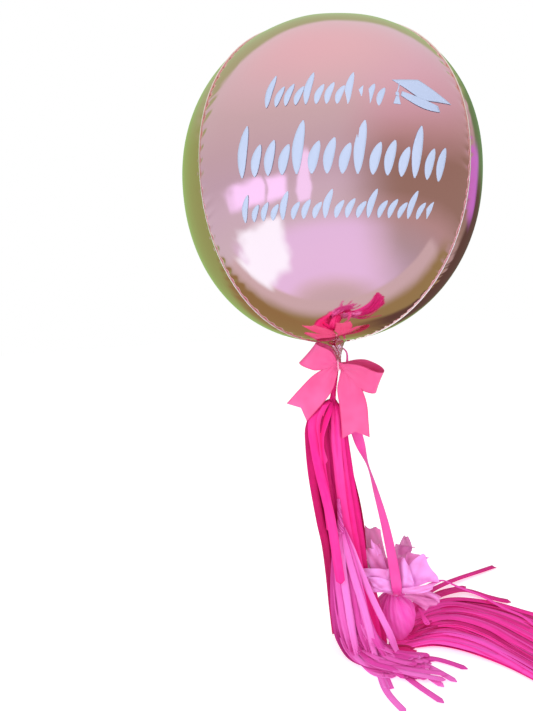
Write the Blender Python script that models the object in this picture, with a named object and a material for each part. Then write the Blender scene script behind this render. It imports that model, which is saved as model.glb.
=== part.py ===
# Party balloon with bow, tissue tassels, tether ribbon and wrapped weight.
# Metres, +Z up. The origin is on the floor, straight below the middle of the balloon.
# +X is to the viewer's right, and the viewer looks along +Y.
import math

import bmesh
import bpy
from mathutils import Vector

# Driving sizes of the balloon
BALLOON_WIDTH = 0.400
BALLOON_TOP_RISE = 0.2014
BALLOON_BOTTOM_DROP = 0.2152
BALLOON_SQUARENESS = 2.09
BALLOON_LEAN_DEG = 2.0
GORE_COUNT = 4
GORE_FACETS = 11
SEAM_AZIMUTHS_DEG = (-46.5, 52.5, 133.5, 232.5)
SEAM_RIB_HEIGHT = 0.0018
SEAM_RIB_HALF_ANGLE_DEG = 0.55

# Neck and knot
NECK_TOP_RADIUS = 0.0125
NECK_END_RADIUS = 0.0040
NECK_LENGTH = 0.0328
KNOT_X = -0.0022
KNOT_Z = 0.416

# Ribbons
GAP = 0.0003
BOW_RIBBON_WIDTH = 0.038
BOW_RIBBON_THICK = 0.0008
BOW_PINCH_WIDTH = 0.0075
BOW_LAYER_PITCH = 0.0015
BOW_NOTCH_DEPTH = 0.009
TIE_WIDTH = 0.0024
TIE_THICK = 0.0012
TIE_SLACK = 0.0022
TIE_CLEAR = 0.0012
TETHER_WIDTH = 0.015
TETHER_THICK = 0.0008
TETHER_CLEAR = 0.003
TETHER_ABOVE_KNOT = 0.0198

# Tissue strips
STRIP_WIDTH = 0.0145
STRIP_THICK = 0.0010
STRIP_LAYER = STRIP_THICK + GAP
CURL_START = 0.060
CURL_SLOPE = 0.0095
STEM_BELOW_KNOT = 0.0055
BUNDLE_FOOT_HEIGHT = 0.0741

# Weight and frill
WEIGHT_X = 0.0575
WEIGHT_Y = 0.0185
WEIGHT_RADIUS = 0.0305
WEIGHT_FOOT_RADIUS = 0.019
WEIGHT_GATHER_RADIUS = 0.0080
WEIGHT_HEIGHT = 0.0725
WEIGHT_FOLDS = 12
FRILL_CORE_RADIUS = 0.0065
FRILL_CORE_HEIGHT = 0.0080
PETAL_THICK = 0.0011


def remove_everything():
    for item in list(bpy.data.objects):
        bpy.data.objects.remove(item, do_unlink=True)


def make_material(name, colour, metallic, roughness):
    mat = bpy.data.materials.new(name)
    mat.use_nodes = True
    shader = mat.node_tree.nodes["Principled BSDF"]
    shader.inputs["Base Color"].default_value = (*colour, 1.0)
    shader.inputs["Metallic"].default_value = metallic
    shader.inputs["Roughness"].default_value = roughness
    return mat


class Shell:
    """A closed mesh that is put together ring by ring."""

    def __init__(self):
        self.points = []
        self.faces = []

    def add_ring(self, ring):
        start = len(self.points)
        self.points.extend(Vector(p) for p in ring)
        return list(range(start, start + len(ring)))

    def join_rings(self, first, second):
        count = len(first)
        for k in range(count):
            n = (k + 1) % count
            self.faces.append((first[k], first[n], second[n], second[k]))

    def close_with_fan(self, ring, tip):
        (top,) = self.add_ring([tip])
        count = len(ring)
        for k in range(count):
            self.faces.append((ring[k], ring[(k + 1) % count], top))

    def build(self, name, material, smooth_angle_deg=40.0):
        mesh = bpy.data.meshes.new(name)
        bm = bmesh.new()
        verts = [bm.verts.new(p) for p in self.points]
        for face in self.faces:
            bm.faces.new([verts[k] for k in face])
        bmesh.ops.recalc_face_normals(bm, faces=bm.faces)
        bm.to_mesh(mesh)
        bm.free()
        mesh.materials.append(material)
        item = bpy.data.objects.new(name, mesh)
        bpy.context.scene.collection.objects.link(item)
        mesh.polygons.foreach_set("use_smooth", [True] * len(mesh.polygons))
        mesh.set_sharp_from_angle(angle=math.radians(smooth_angle_deg))
        return item


def sample_path(rows, count):
    """Smooth curve through the rows of numbers, given at count even steps."""
    last = len(rows) - 1
    result = []
    for n in range(count):
        t = n * last / (count - 1)
        k = min(int(t), last - 1)
        f = t - k
        p0, p1, p2, p3 = rows[max(k - 1, 0)], rows[k], rows[k + 1], rows[min(k + 2, last)]
        result.append([
            0.5 * (2 * b + (c - a) * f + (2 * a - 5 * b + 4 * c - d) * f * f
                   + (3 * b - a - 3 * c + d) * f * f * f)
            for a, b, c, d in zip(p0, p1, p2, p3)
        ])
    return result


def tangents(points):
    last = len(points) - 1
    return [
        (points[min(k + 1, last)] - points[max(k - 1, 0)]).normalized()
        for k in range(last + 1)
    ]


# Balloon

def lean_with_balloon(x, y, height):
    angle = math.radians(BALLOON_LEAN_DEG)
    middle = KNOT_Z + NECK_LENGTH + BALLOON_BOTTOM_DROP
    return Vector((
        x * math.cos(angle) + height * math.sin(angle),
        y,
        middle - x * math.sin(angle) + height * math.cos(angle),
    ))


def globe_profile(step_count):
    radius = BALLOON_WIDTH / 2
    power = 2.0 / BALLOON_SQUARENESS
    rows = []
    for k in range(1, step_count):
        t = math.pi * k / step_count
        reach = BALLOON_TOP_RISE if t < math.pi / 2 else BALLOON_BOTTOM_DROP
        r = radius * abs(math.sin(t)) ** power
        z = math.copysign(reach * abs(math.cos(t)) ** power, math.cos(t))
        if z < 0 and r < NECK_TOP_RADIUS * 1.5:
            break
        rows.append((r, z))
    return rows


def balloon_azimuths():
    rows = []
    for k in range(GORE_COUNT):
        start = SEAM_AZIMUTHS_DEG[k]
        stop = SEAM_AZIMUTHS_DEG[(k + 1) % GORE_COUNT]
        if stop < start:
            stop += 360.0
        rows.append((start, 1.0))
        first = start + SEAM_RIB_HALF_ANGLE_DEG
        last = stop - SEAM_RIB_HALF_ANGLE_DEG
        for n in range(GORE_FACETS + 1):
            rows.append((first + (last - first) * n / GORE_FACETS, 0.0))
    return rows


def make_balloon(material):
    shell = Shell()
    columns = balloon_azimuths()
    rings = []
    for r, z in globe_profile(26):
        fade = min(1.0, r / 0.06)
        ring = []
        for azimuth, rib in columns:
            a = math.radians(azimuth)
            reach = r + rib * SEAM_RIB_HEIGHT * fade
            ring.append(lean_with_balloon(reach * math.sin(a), -reach * math.cos(a), z))
        rings.append(shell.add_ring(ring))
    # The neck narrows down to the knot
    neck_top = lean_with_balloon(0.0, 0.0, -BALLOON_BOTTOM_DROP)
    knot = Vector((KNOT_X, 0.0, KNOT_Z))
    for share, radius in ((0.03, NECK_TOP_RADIUS), (0.30, 0.0095), (0.62, 0.0062), (0.98, NECK_END_RADIUS)):
        centre = neck_top.lerp(knot, share)
        ring = []
        for n, (azimuth, _) in enumerate(columns):
            a = math.radians(azimuth)
            crumple = 1.0 + 0.10 * math.sin(9 * a + 5 * share)
            reach = radius * crumple
            ring.append(centre + Vector((reach * math.sin(a), -reach * math.cos(a), 0.0)))
        rings.append(shell.add_ring(ring))
    for first, second in zip(rings, rings[1:]):
        shell.join_rings(first, second)
    shell.close_with_fan(rings[0], lean_with_balloon(0.0, 0.0, BALLOON_TOP_RISE))
    shell.close_with_fan(rings[-1], knot)
    return shell.build("balloon", material)


# Bow

def ribbon_ring(centre, across, normal, width, thick):
    half = across * (width / 2)
    lift = normal * (thick / 2)
    return [
        centre - half - lift, centre - lift, centre + half - lift,
        centre + half + lift, centre + lift, centre - half + lift,
    ]


def make_bow_ribbon(material):
    layer_back = -(NECK_END_RADIUS * 1.1 + TIE_CLEAR + TIE_THICK + TIE_SLACK)
    layer_middle = layer_back - BOW_LAYER_PITCH
    layer_front = layer_middle - BOW_LAYER_PITCH
    full = BOW_RIBBON_WIDTH
    pinch = BOW_PINCH_WIDTH
    # Each row: x, y and z from the knot, angle across the ribbon in degrees, width
    rows = [
        (0.0178, -0.0215, -0.1023, 6, full),
        (0.0177, -0.0200, -0.0803, 5, full),
        (0.0169, -0.0170, -0.0563, 4, full),
        (0.0124, -0.0130, -0.0332, 6, full * 0.86),
        (0.0105, -0.0115, -0.0187, 18, full * 0.58),
        (0.0083, -0.0104, -0.0081, 42, full * 0.34),
        (0.0034, layer_back, -0.0021, 56, pinch),
        (-0.0034, layer_back, 0.0019, 62, pinch),
        (-0.0099, -0.0124, 0.0078, 62, full * 0.46),
        (-0.0217, -0.0200, 0.0139, 54, full * 0.88),
        (-0.0336, -0.0290, 0.0186, 46, full),
        (-0.0381, -0.0350, 0.0186, 44, full),
        (-0.0341, -0.0385, 0.0161, 47, full),
        (-0.0198, -0.0310, 0.0103, 58, full * 0.84),
        (-0.0089, -0.0200, 0.0042, 64, full * 0.52),
        (-0.0036, layer_front, 0.0015, 64, pinch),
        (0.0036, layer_front, -0.0017, 64, pinch),
        (0.0099, -0.0200, -0.0062, 64, full * 0.50),
        (0.0238, -0.0300, -0.0184, 66, full * 0.84),
        (0.0436, -0.0320, -0.0287, 67, full),
        (0.0530, -0.0260, -0.0309, 67, full),
        (0.0476, -0.0180, -0.0248, 67, full),
        (0.0268, -0.0140, -0.0099, 66, full * 0.86),
        (0.0110, -0.0120, -0.0022, 62, full * 0.48),
        (0.0036, layer_middle, -0.0001, 76, pinch),
        (-0.0034, layer_middle, -0.0015, 92, pinch),
        (-0.0099, -0.0120, -0.0083, 112, full * 0.50),
        (-0.0234, -0.0160, -0.0236, 126, full * 0.90),
        (-0.0427, -0.0190, -0.0433, 130, full),
        (-0.0621, -0.0200, -0.0625, 129, full),
    ]
    samples = sample_path(rows, 74)
    centres = [Vector((s[0] + KNOT_X, s[1], s[2] + KNOT_Z)) for s in samples]
    shell = Shell()
    rings = []
    for centre, tangent, sample in zip(centres, tangents(centres), samples):
        angle = math.radians(sample[3])
        across = Vector((math.cos(angle), 0.0, math.sin(angle)))
        across = (across - tangent * across.dot(tangent)).normalized()
        normal = tangent.cross(across)
        rings.append(shell.add_ring(ribbon_ring(centre, across, normal, sample[4], BOW_RIBBON_THICK)))
    for first, second in zip(rings, rings[1:]):
        shell.join_rings(first, second)
    for ring, inward in ((rings[0], centres[1] - centres[0]), (rings[-1], centres[-2] - centres[-1])):
        for k in (1, 4):
            shell.points[ring[k]] += inward.normalized() * BOW_NOTCH_DEPTH
        shell.faces.append((ring[0], ring[1], ring[4], ring[5]))
        shell.faces.append((ring[1], ring[2], ring[3], ring[4]))
    return shell.build("bow_ribbon", material)


def make_bow_tie(material):
    back = -(NECK_END_RADIUS * 1.1 + TIE_CLEAR)
    front = back - 2 * TIE_THICK - 2 * TIE_SLACK - 2 * BOW_LAYER_PITCH
    centre_y = (back + front) / 2
    half_depth = (back - front) / 2
    half_height = BOW_PINCH_WIDTH / 2 + 1.6 * TIE_SLACK + TIE_THICK
    shell = Shell()
    rings = []
    steps = 28
    for k in range(steps):
        a = 2 * math.pi * k / steps
        s, c = math.sin(a), math.cos(a)
        shape_y = math.copysign(abs(c) ** 0.6, c)
        shape_z = math.copysign(abs(s) ** 0.6, s)
        ring = []
        for side, inset in ((-0.5, 0.0), (0.5, 0.0), (0.5, TIE_THICK), (-0.5, TIE_THICK)):
            ring.append((
                KNOT_X + side * TIE_WIDTH,
                centre_y + (half_depth - inset) * shape_y,
                KNOT_Z + (half_height - inset) * shape_z,
            ))
        rings.append(shell.add_ring(ring))
    for k in range(steps):
        shell.join_rings(rings[k], rings[(k + 1) % steps])
    return shell.build("bow_tie", material)


# Tissue strips and tassels

def inset_quad(shell, quad, share_across, share_thick):
    """Smaller quad inside a quad; the four faces between them are added."""
    corners = [shell.points[k] for k in quad]
    middle = sum(corners, Vector()) / 4
    across = (corners[1] + corners[2] - corners[0] - corners[3]) / 4
    thick = (corners[2] + corners[3] - corners[0] - corners[1]) / 4
    inner = shell.add_ring([
        middle - across * share_across - thick * share_thick,
        middle + across * share_across - thick * share_thick,
        middle + across * share_across + thick * share_thick,
        middle - across * share_across + thick * share_thick,
    ])
    shell.join_rings(quad, inner)
    return inner, middle, across.normalized(), thick.normalized()


def curl(x, y):
    """Strips curl up away from the foot, so the far ends stand a little off the floor."""
    return CURL_SLOPE * max(0.0, math.hypot(x, y) - CURL_START)


def grow_strip(shell, quad, route, end_across, width, thick, base, count, taper=1.0, shares=(0.9, 0.3)):
    """A strip that grows out of a quad and follows the route, never lower than base and its curl."""
    inner, middle, across, lift = inset_quad(shell, quad, *shares)
    rows = [tuple(middle)] + [tuple(p) for p in route]
    centres = [Vector(p) for p in sample_path(rows, count)]
    end_across = Vector(end_across).normalized()
    ring = inner
    last = count - 1
    ways = tangents(centres)
    for k in range(1, count):
        share = k / last
        side = across.lerp(end_across, min(1.0, share * 1.4))
        side = (side - ways[k] * side.dot(ways[k])).normalized()
        normal = ways[k].cross(side)
        if normal.dot(lift) < 0:
            normal = -normal
        lift = normal
        wide = width * (1.0 - (1.0 - taper) * max(0.0, share - 0.8) / 0.2)
        new = [
            centres[k] - side * wide / 2 - normal * thick / 2,
            centres[k] + side * wide / 2 - normal * thick / 2,
            centres[k] + side * wide / 2 + normal * thick / 2,
            centres[k] - side * wide / 2 + normal * thick / 2,
        ]
        low, high = ((0, 1), (3, 2)) if new[0].z <= new[3].z else ((3, 2), (0, 1))
        for a, b in zip(low, high):
            rest = base + curl(new[a].x, new[a].y)
            new[a].z = max(new[a].z, rest)
            new[b].z = max(new[b].z, rest + thick)
        added = shell.add_ring(new)
        shell.join_rings(ring, added)
        ring = added
    shell.faces.append(tuple(ring))


def bundle_ring(station, cells, across, depth, flute, turn):
    """Outline of a bundle, an oval with one ridge per strip, in order round a grid of cells."""
    nx, ny = cells
    edge = [(i, 0) for i in range(nx)] + [(nx, j) for j in range(ny)]
    edge += [(i, ny) for i in range(nx, 0, -1)] + [(0, j) for j in range(ny, 0, -1)]
    centre = Vector(station[:3])
    ring = []
    for n, (i, j) in enumerate(edge):
        u, v = 2 * i / nx - 1, 2 * j / ny - 1
        x, y = u * math.sqrt(1 - v * v / 2), v * math.sqrt(1 - u * u / 2)
        swell = 1.0 + flute * (1 if n % 2 else -1)
        x, y = x * math.cos(turn) - y * math.sin(turn), x * math.sin(turn) + y * math.cos(turn)
        ring.append(centre + across * (x * station[3] * swell) + depth * (y * station[4] * swell))
    return edge, ring


def make_bundle(shell, stations, cells, across, depth, twist_until, flute=0.05):
    """Fluted bundle through the stations; returns the grid of quads at its far end."""
    across, depth = Vector(across), Vector(depth)
    rings = []
    for k, station in enumerate(stations):
        turn = 0.9 * max(0, twist_until - k)
        edge, ring = bundle_ring(station, cells, across, depth, flute, turn)
        rings.append(shell.add_ring(ring))
    shell.close_with_fan(rings[0], stations[0][:3])
    for first, second in zip(rings, rings[1:]):
        shell.join_rings(first, second)
    nx, ny = cells
    last = stations[-1]
    grid = dict(zip(edge, rings[-1]))
    for i in range(1, nx):
        for j in range(1, ny):
            u, v = 2 * i / nx - 1, 2 * j / ny - 1
            x, y = u * math.sqrt(1 - v * v / 2), v * math.sqrt(1 - u * u / 2)
            point = Vector(last[:3]) + across * (x * last[3]) + depth * (y * last[4])
            (grid[i, j],) = shell.add_ring([point])
    return {
        (i, j): (grid[i, j], grid[i + 1, j], grid[i + 1, j + 1], grid[i, j + 1])
        for i in range(nx) for j in range(ny)
    }


def make_upper_tassel(material):
    stem_top = KNOT_Z - STEM_BELOW_KNOT
    # Each row: x and y of the middle, share of the way up the bundle, half of the width and of the depth
    rows = [
        (KNOT_X - 0.0010, 0.000, 1.0, 0.0034, 0.0034),
        (-0.0076, 0.000, 0.954, 0.0031, 0.0031),
        (-0.0121, 0.000, 0.907, 0.0036, 0.0034),
        (-0.0143, 0.000, 0.868, 0.0085, 0.0062),
        (-0.0186, 0.000, 0.833, 0.0158, 0.0095),
        (-0.0218, 0.000, 0.788, 0.0210, 0.0125),
        (-0.0234, 0.000, 0.732, 0.0262, 0.0150),
        (-0.0241, 0.000, 0.666, 0.0295, 0.0170),
        (-0.0217, 0.000, 0.583, 0.0320, 0.0180),
        (-0.0182, 0.000, 0.494, 0.0335, 0.0185),
        (-0.0138, 0.001, 0.399, 0.0335, 0.0180),
        (-0.0109, 0.005, 0.291, 0.0330, 0.0165),
        (-0.0090, 0.008, 0.184, 0.0315, 0.0165),
        (-0.0092, 0.010, 0.077, 0.0300, 0.0175),
        (-0.0101, 0.011, 0.0, 0.0290, 0.0180),
    ]
    stations = [
        (x, y, BUNDLE_FOOT_HEIGHT + share * (stem_top - BUNDLE_FOOT_HEIGHT), wide, deep)
        for x, y, share, wide, deep in rows
    ]
    shell = Shell()
    cells = (5, 3)
    ends = make_bundle(shell, stations, cells, (1, 0, 0), (0, 1, 0), 4)
    floor = STRIP_THICK / 2
    for (i, j), quad in ends.items():
        if j == 0:
            # The front row lands on the left and runs to the right
            layer = i * STRIP_LAYER
            x = -0.0328 + 0.011 * i
            route = [
                (x - 0.003, 0.0010 - 0.0015 * i, 0.034),
                (x, 0.0005 - 0.003 * i, floor + layer + 0.004),
                (x + 0.020, 0.0005 - 0.003 * i, floor + layer),
                (x + 0.045, -0.0030 - 0.0026 * i, floor + layer),
                (x + 0.072, -0.0125 - 0.002 * i, floor + layer),
                (0.070 + 0.004 * i, -0.0195 - 0.0006 * i, floor + layer),
            ]
            grow_strip(shell, quad, route, (0, 1, 0), STRIP_WIDTH * 0.84, STRIP_THICK, layer, 14)
        else:
            # The hidden rows run back, behind the tassel
            layer = (2 - j) * STRIP_LAYER
            x = -0.0313 + 0.010 * i
            y = 0.012 + 0.014 * j
            route = [
                (x, y - 0.004, 0.030),
                (x - 0.0010, y + 0.004, floor + layer + 0.003),
                (x - 0.0040 + 0.0012 * i, y + 0.024, floor + layer),
                (x - 0.0062 + 0.0026 * i, y + 0.050 + 0.004 * math.sin(2.3 * i), floor + layer),
            ]
            grow_strip(shell, quad, route, (1, 0, 0), 0.0094, STRIP_THICK, layer, 10)
    return shell.build("upper_tassel", material)


def make_lower_tassel(material):
    stations = [
        (-0.0141, -0.0232, 0.2342, 0.0022, 0.0022),
        (-0.0144, -0.0234, 0.2142, 0.0024, 0.0024),
        (-0.0141, -0.0238, 0.1972, 0.0030, 0.0028),
        (-0.0141, -0.0265, 0.1862, 0.0072, 0.0052),
        (-0.0139, -0.0305, 0.1682, 0.0110, 0.0085),
        (-0.0133, -0.0340, 0.1421, 0.0150, 0.0105),
        (-0.0118, -0.0370, 0.1121, 0.0185, 0.0120),
        (-0.0078, -0.0395, 0.0840, 0.0235, 0.0130),
        (-0.0032, -0.0410, 0.0600, 0.0290, 0.0135),
    ]
    shell = Shell()
    cells = (5, 2)
    ends = make_bundle(shell, stations, cells, (1, 0, 0), (0, 1, 0), 4)
    floor = STRIP_THICK / 2
    # Where each strip touches down and where it ends, front row then back row
    touch = [
        [(-0.020, -0.044), (-0.005, -0.054), (0.009, -0.062), (0.025, -0.063), (0.039, -0.057)],
        [(-0.023, -0.036), (-0.005, -0.042), (0.011, -0.044), (0.029, -0.045), (0.045, -0.041)],
    ]
    reach = [
        [(0.035, -0.079), (0.055, -0.137), (0.103, -0.122), (0.107, -0.091), (0.124, -0.082)],
        [(0.019, -0.063), (0.059, -0.073), (0.089, -0.068), (0.143, -0.060), (0.112, -0.047)],
    ]
    for (i, j), quad in ends.items():
        layer = (i % 3) * STRIP_LAYER + j * 3 * STRIP_LAYER
        tx, ty = touch[j][i]
        ex, ey = reach[j][i]
        way = Vector((ex - tx, ey - ty, 0.0)).normalized()
        side = Vector((-way.y, way.x, 0.0))
        start = shell.points[quad[0]].lerp(shell.points[quad[2]], 0.5)
        bend = 0.004 * math.sin(1.7 * i + j)
        route = [
            ((start.x + tx) / 2, (start.y + ty) / 2, 0.030),
            (tx, ty, floor + layer + 0.003),
            (tx + (ex - tx) * 0.45 + side.x * bend, ty + (ey - ty) * 0.45 + side.y * bend, floor + layer),
            (ex, ey, floor + layer),
        ]
        grow_strip(shell, quad, route, side, STRIP_WIDTH * 0.72, STRIP_THICK, layer, 12, 0.7)
    return shell.build("lower_tassel", material)


def make_floor_tassel(material):
    shell = Shell()
    cells = (8, 2)
    # The bundle lies down: the stations give half of the width on the floor and half of the height
    stations = [
        (0.0693, 0.0641, 0.0060, 0.0080, 0.0050),
        (0.0823, 0.0607, 0.0070, 0.0130, 0.0060),
        (0.0923, 0.0515, 0.0080, 0.0280, 0.0070),
        (0.1022, 0.0453, 0.0085, 0.0460, 0.0075),
        (0.1201, 0.0438, 0.0087, 0.0560, 0.0072),
    ]
    ends = make_bundle(shell, stations, cells, (0, 1, 0), (0, 0, 1), 0, 0.02)
    floor = STRIP_THICK / 2
    singles = {7: (0.230, 0.215), 6: (0.191, 0.159), 5: (0.218, 0.124), 4: (0.265, 0.080)}
    for (i, j), quad in ends.items():
        start = shell.points[quad[0]].lerp(shell.points[quad[2]], 0.5)
        layer = (i % 2 + 2 * j) * STRIP_LAYER
        share = (i + 0.4 * j) / (cells[0] - 1)
        if j == 0 and i in singles:
            ex, ey = singles[i]
            mid = (start.x + (ex - start.x) * 0.5, start.y + (ey - start.y) * 0.5)
        else:
            ex = 0.304 + 0.016 * math.sin(2.1 * i + j)
            ey = -0.125 + 0.165 * share + 0.006 * math.sin(3.1 * i + 2 * j)
            mid = (0.199, -0.060 + 0.190 * share - 0.030 * share * (1 - share))
        hump = floor + layer + (0.007 if j else 0.0)
        route = [
            (start.x * 0.65 + mid[0] * 0.35, start.y * 0.62 + mid[1] * 0.38, hump + 0.003),
            (mid[0], mid[1], floor + layer + 0.001),
            (ex, ey, floor + layer),
        ]
        way = Vector((ex - mid[0], ey - mid[1], 0.0)).normalized()
        grow_strip(shell, quad, route, (-way.y, way.x, 0.0), STRIP_WIDTH, STRIP_THICK, layer, 10)
    return shell.build("floor_tassel", material)


# Tether ribbon

def make_tether_ribbon(material):
    front_of_weight = WEIGHT_Y - WEIGHT_RADIUS - TETHER_CLEAR
    foot = 0.8 * WEIGHT_HEIGHT
    top = KNOT_Z + TETHER_ABOVE_KNOT
    # Each row: x, y, share of the way up, angle across the ribbon in plan in degrees, width
    rows = [
        (0.0116, 0.0075, 1.0, 60, 0.006),
        (0.0107, 0.0060, 0.944, 50, 0.007),
        (0.0101, 0.0030, 0.852, 40, 0.009),
        (0.0125, 0.0010, 0.759, 25, 0.011),
        (0.0190, -0.0010, 0.666, 12, TETHER_WIDTH),
        (0.0298, -0.0030, 0.565, 80, 0.010),
        (0.0396, -0.0050, 0.453, 62, TETHER_WIDTH),
        (0.0497, -0.0080, 0.321, 40, TETHER_WIDTH),
        (0.0573, -0.0110, 0.175, 20, TETHER_WIDTH),
        (0.0601, front_of_weight, 0.071, 5, TETHER_WIDTH),
        (0.0612, front_of_weight, 0.0, 0, TETHER_WIDTH),
    ]
    samples = sample_path(rows, 34)
    centres = [Vector((s[0], s[1], foot + s[2] * (top - foot))) for s in samples]
    shell = Shell()
    rings = []
    for centre, tangent, sample in zip(centres, tangents(centres), samples):
        angle = math.radians(sample[3])
        across = Vector((math.cos(angle), math.sin(angle), 0.0))
        across = (across - tangent * across.dot(tangent)).normalized()
        normal = tangent.cross(across)
        half = across * (sample[4] / 2)
        lift = normal * (TETHER_THICK / 2)
        rings.append(shell.add_ring([
            centre - half - lift, centre + half - lift, centre + half + lift, centre - half + lift,
        ]))
    for first, second in zip(rings, rings[1:]):
        shell.join_rings(first, second)
    shell.faces.append(tuple(rings[0]))
    shell.faces.append(tuple(rings[-1]))
    return shell.build("tether_ribbon", material)


# Weight and its frill

def make_balloon_weight(material):
    shell = Shell()
    steps = 2 * WEIGHT_FOLDS
    gather = WEIGHT_GATHER_RADIUS
    rows = [
        (0.0000, WEIGHT_FOOT_RADIUS, 0.0),
        (0.0050, WEIGHT_RADIUS * 0.80, 0.02),
        (0.0160, WEIGHT_RADIUS * 0.95, 0.02),
        (0.0310, WEIGHT_RADIUS * 0.985, 0.015),
        (0.0450, WEIGHT_RADIUS * 0.90, 0.03),
        (0.0560, WEIGHT_RADIUS * 0.66, 0.05),
        (0.0640, gather * 1.35, 0.09),
        (WEIGHT_HEIGHT, gather, 0.09),
    ]
    rings = []
    for z, radius, fold in rows:
        ring = []
        for k in range(steps):
            a = 2 * math.pi * k / steps
            r = radius * (1 + fold * (1 if k % 2 else -1))
            ring.append((WEIGHT_X + r * math.cos(a), WEIGHT_Y + r * math.sin(a), z))
        rings.append(shell.add_ring(ring))
    for first, second in zip(rings, rings[1:]):
        shell.join_rings(first, second)
    shell.close_with_fan(rings[0], (WEIGHT_X, WEIGHT_Y, 0.0))
    shell.close_with_fan(rings[-1], (WEIGHT_X, WEIGHT_Y, WEIGHT_HEIGHT))
    return shell.build("balloon_weight", material)


def make_weight_frill(material):
    bottom = WEIGHT_HEIGHT + GAP
    top = bottom + FRILL_CORE_HEIGHT
    shell = Shell()
    sides = 8
    angles = [math.radians(45 * k - 22.5) for k in range(sides)]
    low = shell.add_ring([
        (WEIGHT_X + FRILL_CORE_RADIUS * math.cos(a), WEIGHT_Y + FRILL_CORE_RADIUS * math.sin(a), bottom)
        for a in angles
    ])
    high = shell.add_ring([
        (WEIGHT_X + FRILL_CORE_RADIUS * math.cos(a), WEIGHT_Y + FRILL_CORE_RADIUS * math.sin(a), top)
        for a in angles
    ])
    shell.close_with_fan(low, (WEIGHT_X, WEIGHT_Y, bottom))
    shell.close_with_fan(high, (WEIGHT_X, WEIGHT_Y, top))
    # One petal per side: middle and tip from the weight's axis and foot, direction across, width
    petals = [
        ((0.032, -0.007, 0.094), (0.059, -0.013, 0.106), (-0.45, 0.10, 0.88), 0.043),
        ((0.030, 0.026, 0.101), (0.048, 0.044, 0.118), (-0.60, 0.60, 0.30), 0.032),
        ((0.010, 0.028, 0.115), (0.021, 0.040, 0.147), (0.95, 0.10, -0.10), 0.032),
        ((-0.012, 0.030, 0.103), (-0.018, 0.048, 0.129), (0.90, 0.30, 0.0), 0.030),
        ((-0.018, 0.014, 0.117), (-0.029, 0.024, 0.165), (0.92, 0.35, 0.15), 0.028),
        ((-0.022, -0.028, 0.088), (-0.039, -0.036, 0.088), (0.10, -0.20, 0.95), 0.030),
        ((0.013, -0.011, 0.099), (0.022, -0.013, 0.125), (0.95, -0.10, -0.25), 0.022),
        ((0.034, -0.022, 0.075), (0.059, -0.028, 0.052), (0.45, -0.10, 0.85), 0.028),
    ]
    for k, (middle, tip, across, width) in enumerate(petals):
        n = (k + 1) % sides
        quad = (low[k], low[n], high[n], high[k])
        first = Vector((WEIGHT_X + middle[0], WEIGHT_Y + middle[1], middle[2]))
        last = Vector((WEIGHT_X + tip[0], WEIGHT_Y + tip[1], tip[2]))
        inner, centre, side, lift = inset_quad(shell, quad, 0.8, 0.3)
        rows = sample_path([tuple(centre), tuple(first), tuple(last)], 7)
        centres = [Vector(p) for p in rows]
        ways = tangents(centres)
        target = Vector(across).normalized()
        if target.dot(side) < 0:
            target = -target
        ring = inner
        for step in range(1, 7):
            share = step / 6
            spread = side.lerp(target, min(1.0, share * 1.6))
            spread = (spread - ways[step] * spread.dot(ways[step])).normalized()
            normal = ways[step].cross(spread)
            if normal.dot(lift) < 0:
                normal = -normal
            lift = normal
            wide = width * (0.18 + 0.82 * math.sin(math.pi * min(1.0, share * 0.78)))
            half = spread * wide / 2
            rise = normal * PETAL_THICK / 2
            point = centres[step]
            added = shell.add_ring([point - half - rise, point + half - rise, point + half + rise, point - half + rise])
            shell.join_rings(ring, added)
            ring = added
        shell.faces.append(tuple(ring))
    return shell.build("weight_frill", material)


def main():
    remove_everything()
    foil = make_material("foil", (0.86, 0.52, 0.52), 1.0, 0.12)
    satin = make_material("satin", (0.95, 0.13, 0.36), 0.0, 0.35)
    tie = make_material("tie_cord", (0.95, 0.55, 0.68), 0.0, 0.30)
    hot_tissue = make_material("hot_tissue", (0.88, 0.02, 0.36), 0.0, 0.60)
    lilac_tissue = make_material("lilac_tissue", (0.86, 0.24, 0.70), 0.0, 0.60)
    trail_tissue = make_material("trail_tissue", (0.90, 0.04, 0.40), 0.0, 0.60)
    tether = make_material("tether_satin", (0.92, 0.10, 0.52), 0.0, 0.40)
    wrap = make_material("wrap_tissue", (0.90, 0.10, 0.56), 0.0, 0.55)
    frill = make_material("frill_tissue", (0.85, 0.42, 0.78), 0.0, 0.55)
    make_balloon(foil)
    make_bow_ribbon(satin)
    make_bow_tie(tie)
    make_upper_tassel(hot_tissue)
    make_lower_tassel(lilac_tissue)
    make_floor_tassel(trail_tissue)
    make_tether_ribbon(tether)
    make_balloon_weight(wrap)
    make_weight_frill(frill)


main()
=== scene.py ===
import math

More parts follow.
